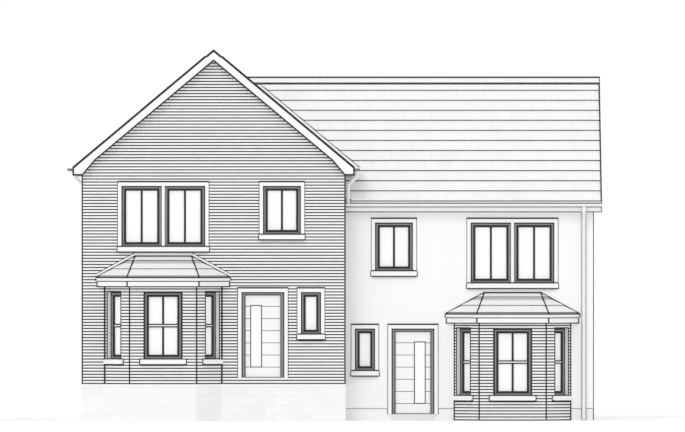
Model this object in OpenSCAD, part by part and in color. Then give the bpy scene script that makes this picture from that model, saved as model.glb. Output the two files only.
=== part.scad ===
// Pair of semi-detached houses on stepped ground, seen as left (upper) and right (lower).
// X runs along the front, Y into the depth, Z up. The origin is the foot of the party wall,
// on its centre line, midway along the depth of the lower house.

/* [Houses] */
// Width of each house, from the middle of the party wall to its outer face
house_w = 6300; // [6200:20:6800]
// Depth of the lower house between its outer wall faces
house_d = 8200; // [7600:50:9000]
// Step in level between the two ground floors
level_step = 900; // [750:25:1050]
// How far the upper house stands forward of the lower one
step_forward = 600; // [500:20:800]
// Height of each ground floor above the ground beside it
floor_rise = 150; // [100:10:250]
// Height from ground floor to first floor
storey_h = 2650; // [2500:10:2800]
// Height from the ground floor to the bottom of the eaves boards
eaves_h = 4985; // [4950:5:5200]

/* [Walls and floors] */
// Thickness of the outer walls
wall_t = 300; // [250:10:360]
// Thickness of the party wall
party_t = 370; // [300:10:420]
// Thickness of the first floors
floor_t = 250; // [200:10:320]
// How far the render stands out past the plinth
render_lip = 15; // [5:1:30]
// Height of the rendered wall's plinth above the ground
plinth_h = 300; // [225:5:340]

/* [Roofs] */
// Pitch of the upper house's gabled roof
left_pitch = 40; // [38:0.5:42]
// Pitch of the lower house's roof
right_pitch = 35; // [33:0.5:36]
// Thickness of the roof slabs, square to the slope
roof_t = 125; // [100:5:130]
// Thickness of the tiles and battens in it
tile_t = 42; // [30:1:55]
// How far the eaves boards stand out from the wall
eaves_out = 214; // [150:2:280]
// Gap between the upper roof's slabs and its soffit boards
left_lift = 16; // [10:1:60]
// Height of the lower roof's surface above the bottom of its eaves boards
right_eaves_d = 286; // [270:2:330]
// How far the tiles run past the lower house's eaves board
right_tile_lip = 45; // [20:1:50]
// How far the upper roof runs past its gable walls
left_verge = 150; // [80:5:250]
// How far the lower roof runs past its gable wall
right_verge = 197; // [80:1:260]
// Length of a ridge tile's wing, down the slope
ridge_wing = 250; // [180:5:300]
// Thickness of the ridge tiles
ridge_t = 18; // [12:1:28]
// Width of the lead in the valley, along the ridge
valley_w = 152; // [100:2:200]
// How far the upper house's inner eaves boards stop short of the lower roof
eaves_stop = 40; // [30:1:80]
// Thickness of the lead
lead_t = 5; // [3:1:8]
// Height of the lead upstand where the lower roof meets the upper house
upstand_h = 150; // [100:5:180]

/* [Boards, gutters and pipes] */
// Thickness of the bargeboards and eaves boards
board_t = 25; // [18:1:32]
// Depth of the bargeboards, square to the slope
barge_d = 210; // [190:2:240]
// Length along the wall of the bargeboard's cranked foot
barge_crank = 310; // [200:5:400]
// How far the foot of the bargeboard covers the wall
barge_cover = 34; // [20:1:60]
// Thickness of the soffit boards
soffit_t = 12; // [9:1:18]
// Outer radius of the half-round gutters
gutter_r = 70; // [55:1:74]
// Wall of the gutters
gutter_wall = 4; // [3:0.5:6]
// Drop from the upper roof's surface to the rim of its gutters
left_gutter_drop = 8; // [6:1:40]
// Drop from the lower roof's surface to the rim of its gutters
right_gutter_drop = 90; // [88:1:110]
// Diameter of the downpipes
pipe_d = 84; // [65:1:92]
// How far the downpipes' knees swell past the pipe
knee_swell = 5; // [3:1:8]
// Height of straight pipe over a knee, and of a pipe's open foot above the ground
pipe_end = 20; // [15:1:40]
// Gap between a downpipe and the wall
pipe_off = 24; // [15:1:40]
// Distance of the lower house's downpipe from its outer corner
pipe_in = 250; // [200:5:320]

/* [Windows] */
// Distance of the single upper window from the middle of the party wall
single_at = 1378; // [1250:2:1600]
// Distance of the narrow window from the middle of the party wall
narrow_at = 664; // [600:2:720]
// Width of the double window
twin_w = 2060; // [1800:10:2200]
// Height of the double window's foot above the first floor
twin_sill = 570; // [550:5:700]
// Width of the single window
single_w = 932; // [800:2:1100]
// Height of the single window's foot above the first floor
single_sill = 870; // [700:5:1000]
// Width of the narrow window
narrow_w = 495; // [420:5:560]
// Height of the narrow window's foot above the ground floor
narrow_sill = 1065; // [900:5:1200]
// Height of the back windows' feet above the ground floor
back_sill = 910; // [800:5:1100]
// Height of the wall between the upper windows and the bottom of the eaves boards
head_under = 265; // [230:5:300]
// Height of the ground floor's heads
lower_head = 2110; // [2080:5:2150]
// Depth of the reveal in front of each frame
reveal = 70; // [50:5:90]
// Depth of the frames
frame_d = 70; // [60:1:90]
// Face width of the fixed frames
frame_w = 60; // [45:1:70]
// Face width of the opening sashes
sash_w = 56; // [40:1:65]
// How far the sashes stand back from the frames
sash_back = 12; // [5:1:20]
// Width of the post between two casements
post_w = 67; // [50:1:90]
// Thickness of the double glazing
glass_t = 24; // [16:1:28]

/* [Surrounds and sills] */
// Width of the raised band beside each opening
band_w = 86; // [60:2:95]
// Height of the raised band over each opening
band_h = 108; // [90:2:130]
// How far the bands stand out from the wall
band_out = 25; // [15:1:40]
// Height of the sills
sill_h = 110; // [80:2:120]
// Radius at the ends of the bay's sills
sill_round = 30; // [10:1:38]
// How far the sills stand out from the wall
sill_out = 60; // [45:1:80]
// How far a sill runs past its frame at each side
sill_ear = 95; // [70:1:110]
// Fall of the sill's weathered front edge
sill_fall = 18; // [8:1:30]

/* [Front door] */
// Distance of the door from the middle of the party wall
door_at = 1845; // [1800:5:1950]
// Width of the door frame
door_w = 1055; // [1000:5:1100]
// Face width of the door frame's jambs
jamb_w = 78; // [60:1:90]
// Height of the door frame's head
head_w = 62; // [50:1:80]
// Width of the stop that the leaf shuts against
stop_w = 20; // [15:1:30]
// Gap between the leaf and its frame
leaf_gap = 8; // [7:0.5:10]
// Thickness of the leaf
leaf_t = 54; // [44:1:60]
// Height of the threshold bar
threshold_h = 14; // [10:1:20]
// Number of grooves across the leaf
groove_n = 6; // [3:1:6]
// Height of the lowest groove above the floor
groove_from = 256; // [200:2:300]
// Distance between grooves
groove_pitch = 299; // [250:1:320]
// Width of a groove
groove_w = 12; // [6:1:16]
// Depth of a groove
groove_d = 5; // [3:0.5:8]
// Width of the leaf's glazed slot
slot_w = 246; // [180:2:300]
// Height of the glazed slot
slot_h = 1491; // [1200:5:1600]
// Height of the slot's foot above the floor
slot_from = 278; // [220:2:320]
// Distance of the slot from the edge that opens
slot_in = 150; // [120:2:200]
// Width of the bead around the slot
bead_w = 22; // [12:1:30]
// Number of hinges on a leaf
hinge_n = 3; // [2:1:4]
// Height of a hinge
hinge_h = 100; // [80:5:120]
// Radius of a hinge's knuckles
knuckle_r = 7; // [5:0.5:8]
// Width of a hinge's flaps
flap_w = 30; // [20:1:40]
// Thickness of a hinge's flaps
flap_t = 3; // [2:0.5:4]
// Gap between the leaf and the knuckles
pin_gap = 1; // [0.5:0.1:2]
// Gap between the knuckles
knuckle_gap = 0.3; // [0.2:0.1:0.5]

/* [Bay windows] */
// Width of the wall between the front door and the bay
door_pier = 494.5; // [480:0.5:560]
// Width of the wall between the bay and the house's outer corner
corner_pier = 577; // [550:1:640]
// How far the bay stands out from the wall
bay_out = 603; // [550:1:640]
// Thickness of the bay's walls
bay_t = 180; // [176:1:195]
// Height of the wall over the bay's windows
bay_lintel = 136; // [110:2:160]
// Height of the bay's eaves board
bay_fascia_h = 140; // [120:2:160]
// How far the bay's eaves board stands out from its walls
bay_eaves = 140; // [100:2:170]
// How far the bay's tiles run past its eaves board
bay_lip = 20; // [10:1:30]
// Thickness of the tiles at the bay's eaves
bay_edge = 67; // [50:1:80]
// How far a hip leans in from the bay's corner to the wall
hip_in = 132; // [100:2:180]
// Thickness of the bay roof, measured upright
bay_roof_t = 110; // [70:2:140]
// Height of the flashing over the bay roof
flash_h = 95; // [70:1:108]
// Gap between that flashing and the sill over it
flash_gap = 36; // [10:1:60]
// Width of the piers beside the bay's front window
bay_pier = 359; // [340:1:380]
// Width of the piers between the side windows and the bay's corners
bay_corner = 313; // [290:1:330]
// Width of the bay's walls between the side windows and the house
bay_end = 90; // [70:2:110]
// Depth of the reveal in front of the bay's frames
bay_reveal = 105; // [60:5:105]
// Height of the bay's sills above the floor
bay_sill = 455; // [400:5:600]
// Height of the transom's middle above the floor
transom_at = 1287; // [1200:1:1400]
// Height of the transom
transom_h = 66; // [50:1:80]

/* [Hidden] */
$fn = 48;
// Overshoot of a cut past the face it opens
past = 5;
// Longest piece that any cut has to reach across
far = 20000;
// Play where pieces rest on each other on a slant
seat = 0.1;

half_d = house_d / 2;
left_floor = floor_rise + level_step;
right_floor = floor_rise;
left_front = -half_d - step_forward;
left_mid = -(house_w - party_t / 2) / 2;
left_half = (house_w + party_t / 2) / 2;
party_half = party_t / 2;

left_eaves_d = soffit_t + left_lift + upright(roof_t, left_pitch) - board_t * tan(left_pitch);
left_eave_z = left_floor + eaves_h;
right_eave_z = right_floor + eaves_h;
left_run = left_half + eaves_out;
right_run = half_d + eaves_out;
left_apex = left_eave_z + left_eaves_d + left_run * tan(left_pitch);
right_apex = right_eave_z + right_eaves_d + right_run * tan(right_pitch);

function upright(t, pitch) = t / cos(pitch);
function left_top(run) = left_apex - run * tan(left_pitch);
function right_top(run) = right_apex - run * tan(right_pitch);
// Top of a wall under each roof
function left_under(run) = left_top(run) - upright(roof_t, left_pitch) - seat;
function right_under(run) = right_top(run) - upright(roof_t, right_pitch) - seat;

// The lower roof's run at which its surface passes below the upper house's eaves boards
meet_run = (right_apex - left_eave_z) / tan(right_pitch) + eaves_stop;

// The bay fills the wall between its two piers, with sides at 45 degrees
bay_in = door_at + door_w / 2 + door_pier;
bay_side = (house_w - corner_pier - bay_in) / 2;
bay_at = bay_in + bay_side;
bay_front = bay_side - bay_out;
bay_side_l = bay_out * sqrt(2);
bay_mitre = bay_t * tan(22.5);
bay_wall_h = lower_head + bay_lintel;
bay_roof_z = bay_wall_h + bay_fascia_h;
bay_rise = storey_h + twin_sill - sill_h - flash_gap - flash_h - bay_edge - bay_roof_z;
bay_top = bay_front - hip_in;
bay_win_w = 2 * (bay_front - bay_pier);
bay_side_w = bay_side_l - bay_corner - bay_end;
// The house's wall is splayed beside the bay, in line with the side windows' reveals
splay = (bay_t - bay_end) / sqrt(2);
bay_open = bay_side - bay_end * sqrt(2) - splay;

upper_head = eaves_h - head_under;
twin_foot = storey_h + twin_sill;
single_foot = storey_h + single_sill;
// A window is [middle, width, foot, height, casements], measured from party wall and floor
twin = [bay_at, twin_w, twin_foot, upper_head - twin_foot, 2];
single = [single_at, single_w, single_foot, upper_head - single_foot, 1];
narrow = [narrow_at, narrow_w, narrow_sill, lower_head - narrow_sill, 1];
back_twin = [bay_at, twin_w, back_sill, lower_head - back_sill, 2];
back_single = [single_at, single_w, back_sill, lower_head - back_sill, 1];
FRONT = [twin, single, narrow];
BACK = [twin, single, back_twin, back_single];

leaf_x = door_at - door_w / 2 + jamb_w + leaf_gap;
leaf_w = door_w - 2 * (jamb_w + leaf_gap);
leaf_z = threshold_h + leaf_gap;
leaf_h = lower_head - head_w - leaf_gap - leaf_z;
leaf_y = reveal + frame_d - leaf_t;
// How far the hinge pins stand behind the leaf
pin_out = knuckle_r + pin_gap;

// Extrudes an x,z profile from y0 to y1
module along_y(y0, y1) {
    translate([0, y1, 0]) rotate([90, 0, 0]) linear_extrude(y1 - y0) children();
}

// Extrudes a y,z profile from x0 to x1
module along_x(x0, x1) {
    translate([x0, 0, 0]) rotate([90, 0, 90]) linear_extrude(x1 - x0) children();
}

module block(low, high) {
    translate(low) cube(high - low);
}

// Moves children drawn from party wall, wall face and floor to a house's front or back
module on_face(left, back) {
    translate([0, back ? half_d : (left ? left_front : -half_d), left ? left_floor : right_floor])
        mirror([left ? 1 : 0, 0, 0])
            mirror([0, back ? 1 : 0, 0])
                children();
}

// Walls

// Opening for a window and the sill under it
module window_cut(win) {
    translate([win[0] - win[1] / 2, -past, win[2] - sill_h])
        cube([win[1], wall_t + 2 * past, win[3] + sill_h]);
}

module window_cuts(left, back, windows) {
    on_face(left, back) for (win = windows) window_cut(win);
}

// Wall between the openings of a ground floor front, drawn from the wall's own house
module front_pier(from, to) {
    block([from, 0, -floor_rise], [to, wall_t, lower_head]);
}

// Pier beside the bay, drawn from the bay's middle to the pier's far end
module bay_pier_wall(end) {
    inner = bay_open + seat;
    translate([0, 0, -floor_rise]) linear_extrude(floor_rise + lower_head) polygon([
        [inner + splay, 0], [inner, splay], [inner, wall_t], [end, wall_t], [end, 0]
    ]);
}

module front_piers(left) {
    difference() {
        on_face(left, false) {
            front_pier(left ? -party_half : party_half, door_at - door_w / 2);
            translate([bay_at, 0, 0]) {
                mirror([1, 0, 0]) bay_pier_wall(bay_side + door_pier);
                bay_pier_wall(bay_side + corner_pier);
            }
        }
        window_cuts(left, false, [narrow]);
    }
}

// Everything outside the plinth, which stands back under the render
module plinth_recess() {
    difference() {
        block([-far, -far, -past], [far, far, plinth_h]);
        block([-2 * far, -half_d + render_lip, -far],
            [house_w - render_lip, half_d - render_lip, far]);
    }
}

// Outline of the upper house across its gable, from foot to the underside of the roof
module gable_outline(foot) {
    translate([left_mid, 0]) polygon([
        [-left_half, foot], [-left_half, left_under(left_half)], [0, left_under(0)],
        [left_half, left_under(left_half)], [left_half, foot]
    ]);
}

// Section of a wall under one slope of the upper roof, seen along Y
module left_wall_section(from, to, foot) {
    translate([left_mid, 0]) polygon([
        [from, foot], [from, left_under(abs(from))], [to, left_under(abs(to))], [to, foot]
    ]);
}

// Section of a long wall of the lower house, seen along X
module right_wall_section(foot) {
    polygon([
        [half_d, foot], [half_d, right_under(half_d)],
        [half_d - wall_t, right_under(half_d - wall_t)], [half_d - wall_t, foot]
    ]);
}

module left_foundation() {
    color("darkgray") {
        block([-house_w, left_front, 0], [party_half, left_front + wall_t, level_step]);
        block([-house_w, left_front, 0], [-house_w + wall_t, half_d, level_step]);
        block([-house_w, half_d - wall_t, 0], [party_half, half_d, level_step]);
        on_face(true, false) bay_ring(-left_floor, -floor_rise);
    }
}

module left_front_piers() {
    color("gainsboro") front_piers(true);
}

module left_front_gable() {
    color("gainsboro") difference() {
        along_y(left_front, left_front + wall_t) gable_outline(left_floor + lower_head);
        window_cuts(true, false, [twin, single]);
    }
}

module left_flank_wall() {
    color("gainsboro") along_y(left_front + wall_t, half_d - wall_t)
        left_wall_section(-left_half, -left_half + wall_t, level_step);
}

module left_rear_wall() {
    color("gainsboro") difference() {
        along_y(half_d - wall_t, half_d) gable_outline(level_step);
        window_cuts(true, true, BACK);
    }
}

module party_wall() {
    color("gainsboro") along_y(left_front + wall_t, half_d - wall_t)
        left_wall_section(left_half - party_t, left_half, 0);
}

module right_front_piers() {
    color("white") difference() {
        front_piers(false);
        plinth_recess();
    }
}

module right_front_upper_wall() {
    color("white") difference() {
        along_x(party_half, house_w) mirror([1, 0])
            right_wall_section(right_floor + lower_head);
        window_cuts(false, false, [twin, single]);
    }
}

module right_gable_wall() {
    inside = half_d - wall_t;
    color("white") difference() {
        along_x(house_w - wall_t, house_w) polygon([
            [-inside, 0], [-inside, right_under(inside)], [0, right_under(0)],
            [inside, right_under(inside)], [inside, 0]
        ]);
        plinth_recess();
    }
}

module right_rear_wall() {
    color("white") difference() {
        along_x(party_half, house_w) right_wall_section(0);
        window_cuts(false, true, BACK);
        plinth_recess();
    }
}

// Floors

// Floor of the rooms, the doorway and the bay, with its upper face at height 0
module ground_floor(left) {
    on_face(left, false) {
        depth = half_d + (left ? half_d + step_forward : half_d);
        block([party_half, wall_t, -floor_rise], [house_w - wall_t, depth - wall_t, 0]);
        block([door_at - door_w / 2, 0, -floor_rise], [door_at + door_w / 2, wall_t, 0]);
        block([bay_at - bay_open, splay, -floor_rise], [bay_at + bay_open, wall_t, 0]);
        translate([0, 0, -floor_rise]) linear_extrude(floor_rise) bay_inside(seat);
    }
}

module first_floor(left) {
    depth = half_d + (left ? half_d + step_forward : half_d);
    on_face(left, false) block([party_half, wall_t, storey_h - floor_t],
        [house_w - wall_t, depth - wall_t, storey_h]);
}

module left_ground_floor() {
    color("lightgray") ground_floor(true);
}

module left_first_floor() {
    color("burlywood") first_floor(true);
}

module right_ground_floor() {
    color("lightgray") ground_floor(false);
}

module right_first_floor() {
    color("burlywood") first_floor(false);
}

// Bay windows

// Plan of the bay, grown outwards by a distance that is square to each side
module bay_plan(grow) {
    corner = bay_front + grow * tan(22.5);
    side = bay_side + grow * sqrt(2);
    translate([bay_at, 0]) polygon([
        [-side, 0], [-corner, -bay_out - grow], [corner, -bay_out - grow], [side, 0]
    ]);
}

// Plan of its room, as far as the splay, with some play at the walls
module bay_inside(play) {
    corner = bay_front - bay_mitre - play;
    side = bay_open - play;
    front = -bay_out + bay_t + play;
    translate([bay_at, 0])
        polygon([[-side, splay], [-corner, front], [corner, front], [side, splay]]);
}

module bay_ring(from, to) {
    translate([0, 0, from]) linear_extrude(to - from) difference() {
        bay_plan(0);
        bay_inside(0);
    }
}

// Places children drawn on one side of the bay: 0 is its front, -1 and 1 its sides
module on_bay(side) {
    translate([bay_at + side * (bay_front + bay_side) / 2,
        side == 0 ? -bay_out : -bay_out / 2, 0])
        rotate([0, 0, 45 * side])
            children();
}

// Frame opening in one side of the bay, as [middle, width, foot, height, casements]
function bay_window(side) = [
    side * (bay_corner - bay_end) / 2, side == 0 ? bay_win_w : bay_side_w,
    bay_sill, lower_head - bay_sill, 1
];

module bay_front_wall(left) {
    end = bay_front - seat;
    on_face(left, false) on_bay(0) difference() {
        translate([0, 0, -floor_rise]) linear_extrude(floor_rise + bay_wall_h - seat) polygon([
            [-end, 0], [end, 0], [end - bay_mitre, bay_t], [-end + bay_mitre, bay_t]
        ]);
        window_cut(bay_window(0));
    }
}

// Side walls, which end at the house's wall and return along the splay below its lintel
module bay_side_walls(left) {
    end = bay_side_l / 2;
    outer = [[bay_mitre - end, bay_t], [-end, 0], [end - seat, 0]];
    reveal_x = end - bay_end;
    on_face(left, false) for (side = [-1, 1]) on_bay(side) difference() {
        mirror([side < 0 ? 1 : 0, 0, 0]) {
            translate([0, 0, -floor_rise]) linear_extrude(floor_rise + lower_head - seat)
                polygon(concat(outer, [[reveal_x, bay_end - seat], [reveal_x, bay_t]]));
            translate([0, 0, -floor_rise]) linear_extrude(floor_rise + bay_wall_h - seat)
                polygon(concat(outer, [[end - bay_t - seat, bay_t]]));
        }
        window_cut(bay_window(side));
    }
}

// Soffit and ceiling in one, with the eaves board standing on its edge
module bay_eaves(left) {
    on_face(left, false) translate([0, 0, bay_wall_h]) {
        linear_extrude(soffit_t) bay_plan(bay_eaves);
        linear_extrude(bay_fascia_h) difference() {
            bay_plan(bay_eaves);
            bay_plan(bay_eaves - board_t);
        }
    }
}

// Everything under one side's slope of the bay roof: run is the eaves' distance from the
// middle of the bay at the wall, top the distance at which the slope is level with its top
module bay_slope(angle, run, top, lower) {
    translate([bay_at, 0, bay_roof_z - lower]) rotate([0, 0, angle])
        along_x(-far / 2, far / 2) polygon([
            [far / 2, -past], [-run, -past], [-run, bay_edge],
            [-top, bay_edge + bay_rise], [far / 2, bay_edge + bay_rise]
        ]);
}

module bay_roof_mass(grow, lower) {
    side_run = (bay_side + grow * sqrt(2)) * sin(45);
    intersection() {
        translate([0, 0, bay_roof_z - (lower > 0 ? past : 0)])
            linear_extrude(bay_edge + bay_rise + 2 * past)
                bay_plan(lower > 0 ? bay_eaves - board_t : grow);
        bay_slope(0, bay_out + grow, 0, lower);
        bay_slope(45, side_run, bay_top * sin(45), lower);
        bay_slope(-45, side_run, bay_top * sin(45), lower);
    }
}

// Hollow hipped roof that leans on the wall
module bay_roof(left) {
    on_face(left, false) difference() {
        bay_roof_mass(bay_eaves + bay_lip, 0);
        bay_roof_mass(bay_eaves + bay_lip, bay_roof_t);
    }
}

module left_bay_front_wall() {
    color("gainsboro") bay_front_wall(true);
}

module left_bay_side_walls() {
    color("gainsboro") bay_side_walls(true);
}

module left_bay_eaves() {
    color("white") bay_eaves(true);
}

module left_bay_roof() {
    color("silver") bay_roof(true);
}

// Band of lead that follows the line of the bay roof up the wall
module left_bay_flashing() {
    eave = bay_side + (bay_eaves + bay_lip) * sqrt(2);
    color("whitesmoke") on_face(true, false) translate([bay_at, 0, bay_roof_z + bay_edge])
        along_y(-lead_t, 0) polygon([
            [-eave, 0], [-bay_top, bay_rise], [bay_top, bay_rise], [eave, 0],
            [eave, flash_h], [bay_top, bay_rise + flash_h],
            [-bay_top, bay_rise + flash_h], [-eave, flash_h]
        ]);
}

module right_bay_front_wall() {
    color("gainsboro") bay_front_wall(false);
}

module right_bay_side_walls() {
    color("gainsboro") bay_side_walls(false);
}

module right_bay_eaves() {
    color("white") bay_eaves(false);
}

module right_bay_roof() {
    color("silver") bay_roof(false);
}

// Roofs

// Half of a roof's section, with run as x: slab, and tiles that run over the eaves board
module slope_section(apex, pitch, run, lip) {
    back = run - board_t;
    fall = tan(pitch);
    polygon([
        [0, apex], [run + lip, apex - (run + lip) * fall],
        [run + lip, apex - (run + lip) * fall - upright(tile_t, pitch)],
        [back, apex - back * fall - upright(tile_t, pitch)],
        [back, apex - back * fall - upright(roof_t, pitch)],
        [0, apex - upright(roof_t, pitch)]
    ]);
}

module left_slope_section() {
    slope_section(left_apex, left_pitch, left_run, 0);
}

left_y0 = left_front - left_verge;
left_y1 = half_d + left_verge;
right_x1 = house_w + right_verge;

// Everything under the surface of the upper roof's inner slope, as far as the party wall
module under_left_roof() {
    along_y(-far, far) polygon([
        [left_mid - past, -past], [left_mid - past, left_apex + past * tan(left_pitch)],
        [party_half, left_top(left_half)], [party_half, -past]
    ]);
}

// Front slope of the lower roof, cut where it meets the upper one
module right_slope() {
    difference() {
        along_x(left_mid, right_x1 - board_t) mirror([1, 0])
            slope_section(right_apex, right_pitch, right_run, right_tile_lip);
        under_left_roof();
        along_y(-far, far) translate([left_mid, 0]) left_slope_section();
    }
}

// Angled tile over a ridge
module ridge_section(apex, pitch) {
    run = ridge_wing * cos(pitch);
    drop = run * tan(pitch);
    up = upright(ridge_t, pitch);
    translate([0, apex + seat]) polygon([
        [-run, -drop], [0, 0], [run, -drop], [run, up - drop], [0, up], [-run, up - drop]
    ]);
}

module left_roof_outer_slope() {
    color("silver") along_y(left_y0 + board_t, left_y1 - board_t)
        translate([left_mid, 0]) mirror([1, 0]) left_slope_section();
}

module left_roof_inner_slope() {
    color("silver") along_y(left_y0 + board_t, left_y1 - board_t)
        translate([left_mid, 0]) left_slope_section();
}

// The tiles stop at the eaves board where the pipe from the upper gutter comes down
module right_roof_front_slope() {
    color("silver") difference() {
        right_slope();
        block([party_half - past, -right_run - right_tile_lip - past, 0],
            [party_half + 2 * pipe_off + pipe_d, -right_run, right_apex]);
    }
}

module right_roof_rear_slope() {
    color("silver") mirror([0, 1, 0]) right_slope();
}

module ridge_tiles() {
    color("gray") {
        along_y(left_y0, left_y1) translate([left_mid, 0])
            ridge_section(left_apex, left_pitch);
        difference() {
            along_x(left_mid, right_x1) ridge_section(right_apex, right_pitch);
            translate([0, 0, seat]) under_left_roof();
        }
    }
}

// Where the roof surfaces have a given height
function left_x_at(z) = left_mid + (left_apex - z) / tan(left_pitch);
function right_run_at(z) = (right_apex - z) / tan(right_pitch);

// Lead in the front valley, dressed onto both slopes from the ridge tiles to the eaves
module valley() {
    low = left_top(left_run);
    high = right_top(ridge_wing * cos(right_pitch));
    x_foot = left_x_at(0);
    y_foot = -right_run_at(0);
    intersection() {
        block([-far, -far, low], [far, 0, high]);
        union() {
            intersection() {
                along_x(left_mid, far) lead_layer(0, right_apex, y_foot, right_pitch);
                along_y(-far, 0) strip(left_mid, left_apex, x_foot, valley_w);
            }
            intersection() {
                along_y(-far, 0) lead_layer(left_mid, left_apex, x_foot, left_pitch);
                along_x(left_mid, far) strip(0, right_apex, y_foot, -valley_w);
            }
        }
    }
}

// Section of lead on a slope that falls from a ridge at x to a foot at height 0
module lead_layer(x, apex, foot, pitch) {
    up = upright(lead_t, pitch);
    polygon([[x, apex], [foot, 0], [foot, up], [x, apex + up]]);
}

// Section of what lies within a level width of such a slope
module strip(x, apex, foot, w) {
    polygon([[x, apex], [foot, 0], [foot + w, 0], [x + w, apex]]);
}

// Lead standing against the upper house's side, over the lower roof's edge
module upstand(run_end) {
    run = right_run_at(left_eave_z - upstand_h) + past;
    along_x(party_half, party_half + lead_t) mirror([1, 0]) polygon([
        [run, right_top(run)], [run_end, right_top(run_end)],
        [run_end, right_top(run_end) + upstand_h], [run, right_top(run) + upstand_h]
    ]);
}

module valley_lead() {
    color("whitesmoke") {
        valley();
        mirror([0, 1, 0]) valley();
        upstand(right_run + right_tile_lip);
        mirror([0, 1, 0]) upstand(half_d);
    }
}

// Boards at the verges and eaves

// Pair of bargeboards under a gable, with their cranked feet
module barge_section(apex, pitch, run, half, foot) {
    fall = tan(pitch);
    under = apex - upright(barge_d, pitch);
    toe = half - barge_cover;
    kink = toe - barge_crank;
    polygon([
        [0, apex], [run, apex - run * fall], [run, foot], [toe, foot],
        [kink, under - kink * fall], [0, under], [-kink, under - kink * fall],
        [-toe, foot], [-run, foot], [-run, apex - run * fall]
    ]);
}

module left_barge() {
    translate([left_mid, 0])
        barge_section(left_apex, left_pitch, left_run, left_half, left_eave_z);
}

module bargeboards() {
    color("white") {
        along_y(left_y0, left_y0 + board_t) left_barge();
        along_y(left_y1 - board_t, left_y1) left_barge();
        along_x(right_x1 - board_t, right_x1)
            barge_section(right_apex, right_pitch, right_run, half_d, right_eave_z);
    }
}

// Eaves board and soffit in one, with run as x
module eaves_section(apex, pitch, run, half, foot) {
    fall = tan(pitch);
    top = apex - upright(tile_t, pitch) - seat;
    back = run - board_t;
    polygon([
        [half, foot], [run, foot], [run, top - run * fall], [back, top - back * fall],
        [back, foot + soffit_t], [half, foot + soffit_t]
    ]);
}

module left_eaves_section() {
    eaves_section(left_apex, left_pitch, left_run, left_half, left_eave_z);
}

module right_eaves_section() {
    eaves_section(right_apex, right_pitch, right_run, half_d, right_eave_z);
}

module eaves_boards() {
    color("white") {
        translate([left_mid, 0, 0]) {
            along_y(left_y0 + board_t, left_y1 - board_t)
                mirror([1, 0]) left_eaves_section();
            along_y(left_y0 + board_t, -meet_run) left_eaves_section();
            along_y(meet_run, left_y1 - board_t) left_eaves_section();
        }
        along_x(party_half, right_x1 - board_t) mirror([1, 0]) right_eaves_section();
        along_x(party_half, right_x1 - board_t) right_eaves_section();
    }
}

// Gutters and pipes

left_rim = left_top(left_run) - left_gutter_drop;
right_rim = right_top(right_run) - right_gutter_drop;
left_gutter_x = left_mid + left_run + gutter_r;
right_gutter_y = right_run + gutter_r;

// Half-round gutter along X, from 0 to a length, with its rim at height 0
module gutter(length) {
    along_x(0, length) difference() {
        circle(gutter_r);
        circle(gutter_r - gutter_wall);
        translate([-far / 2, 0]) square(far);
    }
    for (x = [0, length - gutter_wall]) along_x(x, x + gutter_wall) difference() {
        circle(gutter_r);
        translate([-far / 2, 0]) square(far);
    }
}

module left_gutter(x, y0, y1) {
    translate([x, y0, left_rim]) rotate([0, 0, 90]) gutter(y1 - y0);
}

module gutters() {
    right_x0 = party_half + lead_t;
    color("white") {
        left_gutter(2 * left_mid - left_gutter_x, left_y0, left_y1);
        left_gutter(left_gutter_x, left_y0, -meet_run);
        left_gutter(left_gutter_x, meet_run, left_y1);
        for (y = [-right_gutter_y, right_gutter_y])
            translate([right_x0, y, right_rim]) gutter(right_x1 - right_x0);
    }
}

// Round pipe through a list of points, with rounded knees
module pipe(points) {
    for (i = [1 : len(points) - 1]) {
        way = points[i] - points[i - 1];
        translate(points[i - 1])
            rotate([0, acos(way.z / norm(way)), atan2(way.y, way.x)])
                cylinder(d = pipe_d, h = norm(way));
    }
    if (len(points) > 2) for (i = [1 : len(points) - 2])
        translate(points[i]) sphere(pipe_d / 2 + knee_swell);
}

module downpipes() {
    from_wall = pipe_off + pipe_d / 2;
    left_out = left_rim - gutter_r;
    right_out = right_rim - gutter_r;
    right_x = house_w - pipe_in;
    neck = right_gutter_y - half_d - from_wall;
    color("white") {
        // Lower house, front and back
        for (side = [-1, 1]) pipe([
            [right_x, side * right_gutter_y, right_out],
            [right_x, side * right_gutter_y, right_eave_z - pipe_end],
            [right_x, side * (half_d + from_wall), right_eave_z - pipe_end - neck],
            [right_x, side * (half_d + from_wall), pipe_end]
        ]);
        // Upper house's front inner gutter, down into the lower house's gutter
        inner_x = party_half + from_wall;
        pipe([
            [left_gutter_x, -right_gutter_y, left_out],
            [left_gutter_x, -right_gutter_y, left_eave_z - pipe_end],
            [inner_x, -right_gutter_y, left_eave_z - pipe_end - (left_gutter_x - inner_x)],
            [inner_x, -right_gutter_y, right_rim - gutter_r / 3]
        ]);
        // Its back inner gutter, down to the lower roof's tiles
        spill = half_d - pipe_in;
        pipe([
            [left_gutter_x, spill, left_out],
            [left_gutter_x, spill, right_top(spill - pipe_d / 2) + pipe_end]
        ]);
        // Its outer gutter, down the back wall
        outer_x = 2 * left_mid - left_gutter_x;
        back_y = half_d + from_wall;
        back_x = -house_w + from_wall;
        pipe([
            [outer_x, back_y, left_out],
            [outer_x, back_y, left_eave_z - pipe_end],
            [back_x, back_y, left_eave_z - pipe_end - (back_x - outer_x)],
            [back_x, back_y, pipe_end]
        ]);
    }
}

// Windows, drawn with their middle and foot on the Z axis and the wall's face at y = 0

module rim(w, h, border, y0, y1) {
    along_y(y0, y1) translate([-w / 2, 0]) difference() {
        square([w, h]);
        translate([border, border]) square([w - 2 * border, h - 2 * border]);
    }
}

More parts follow.
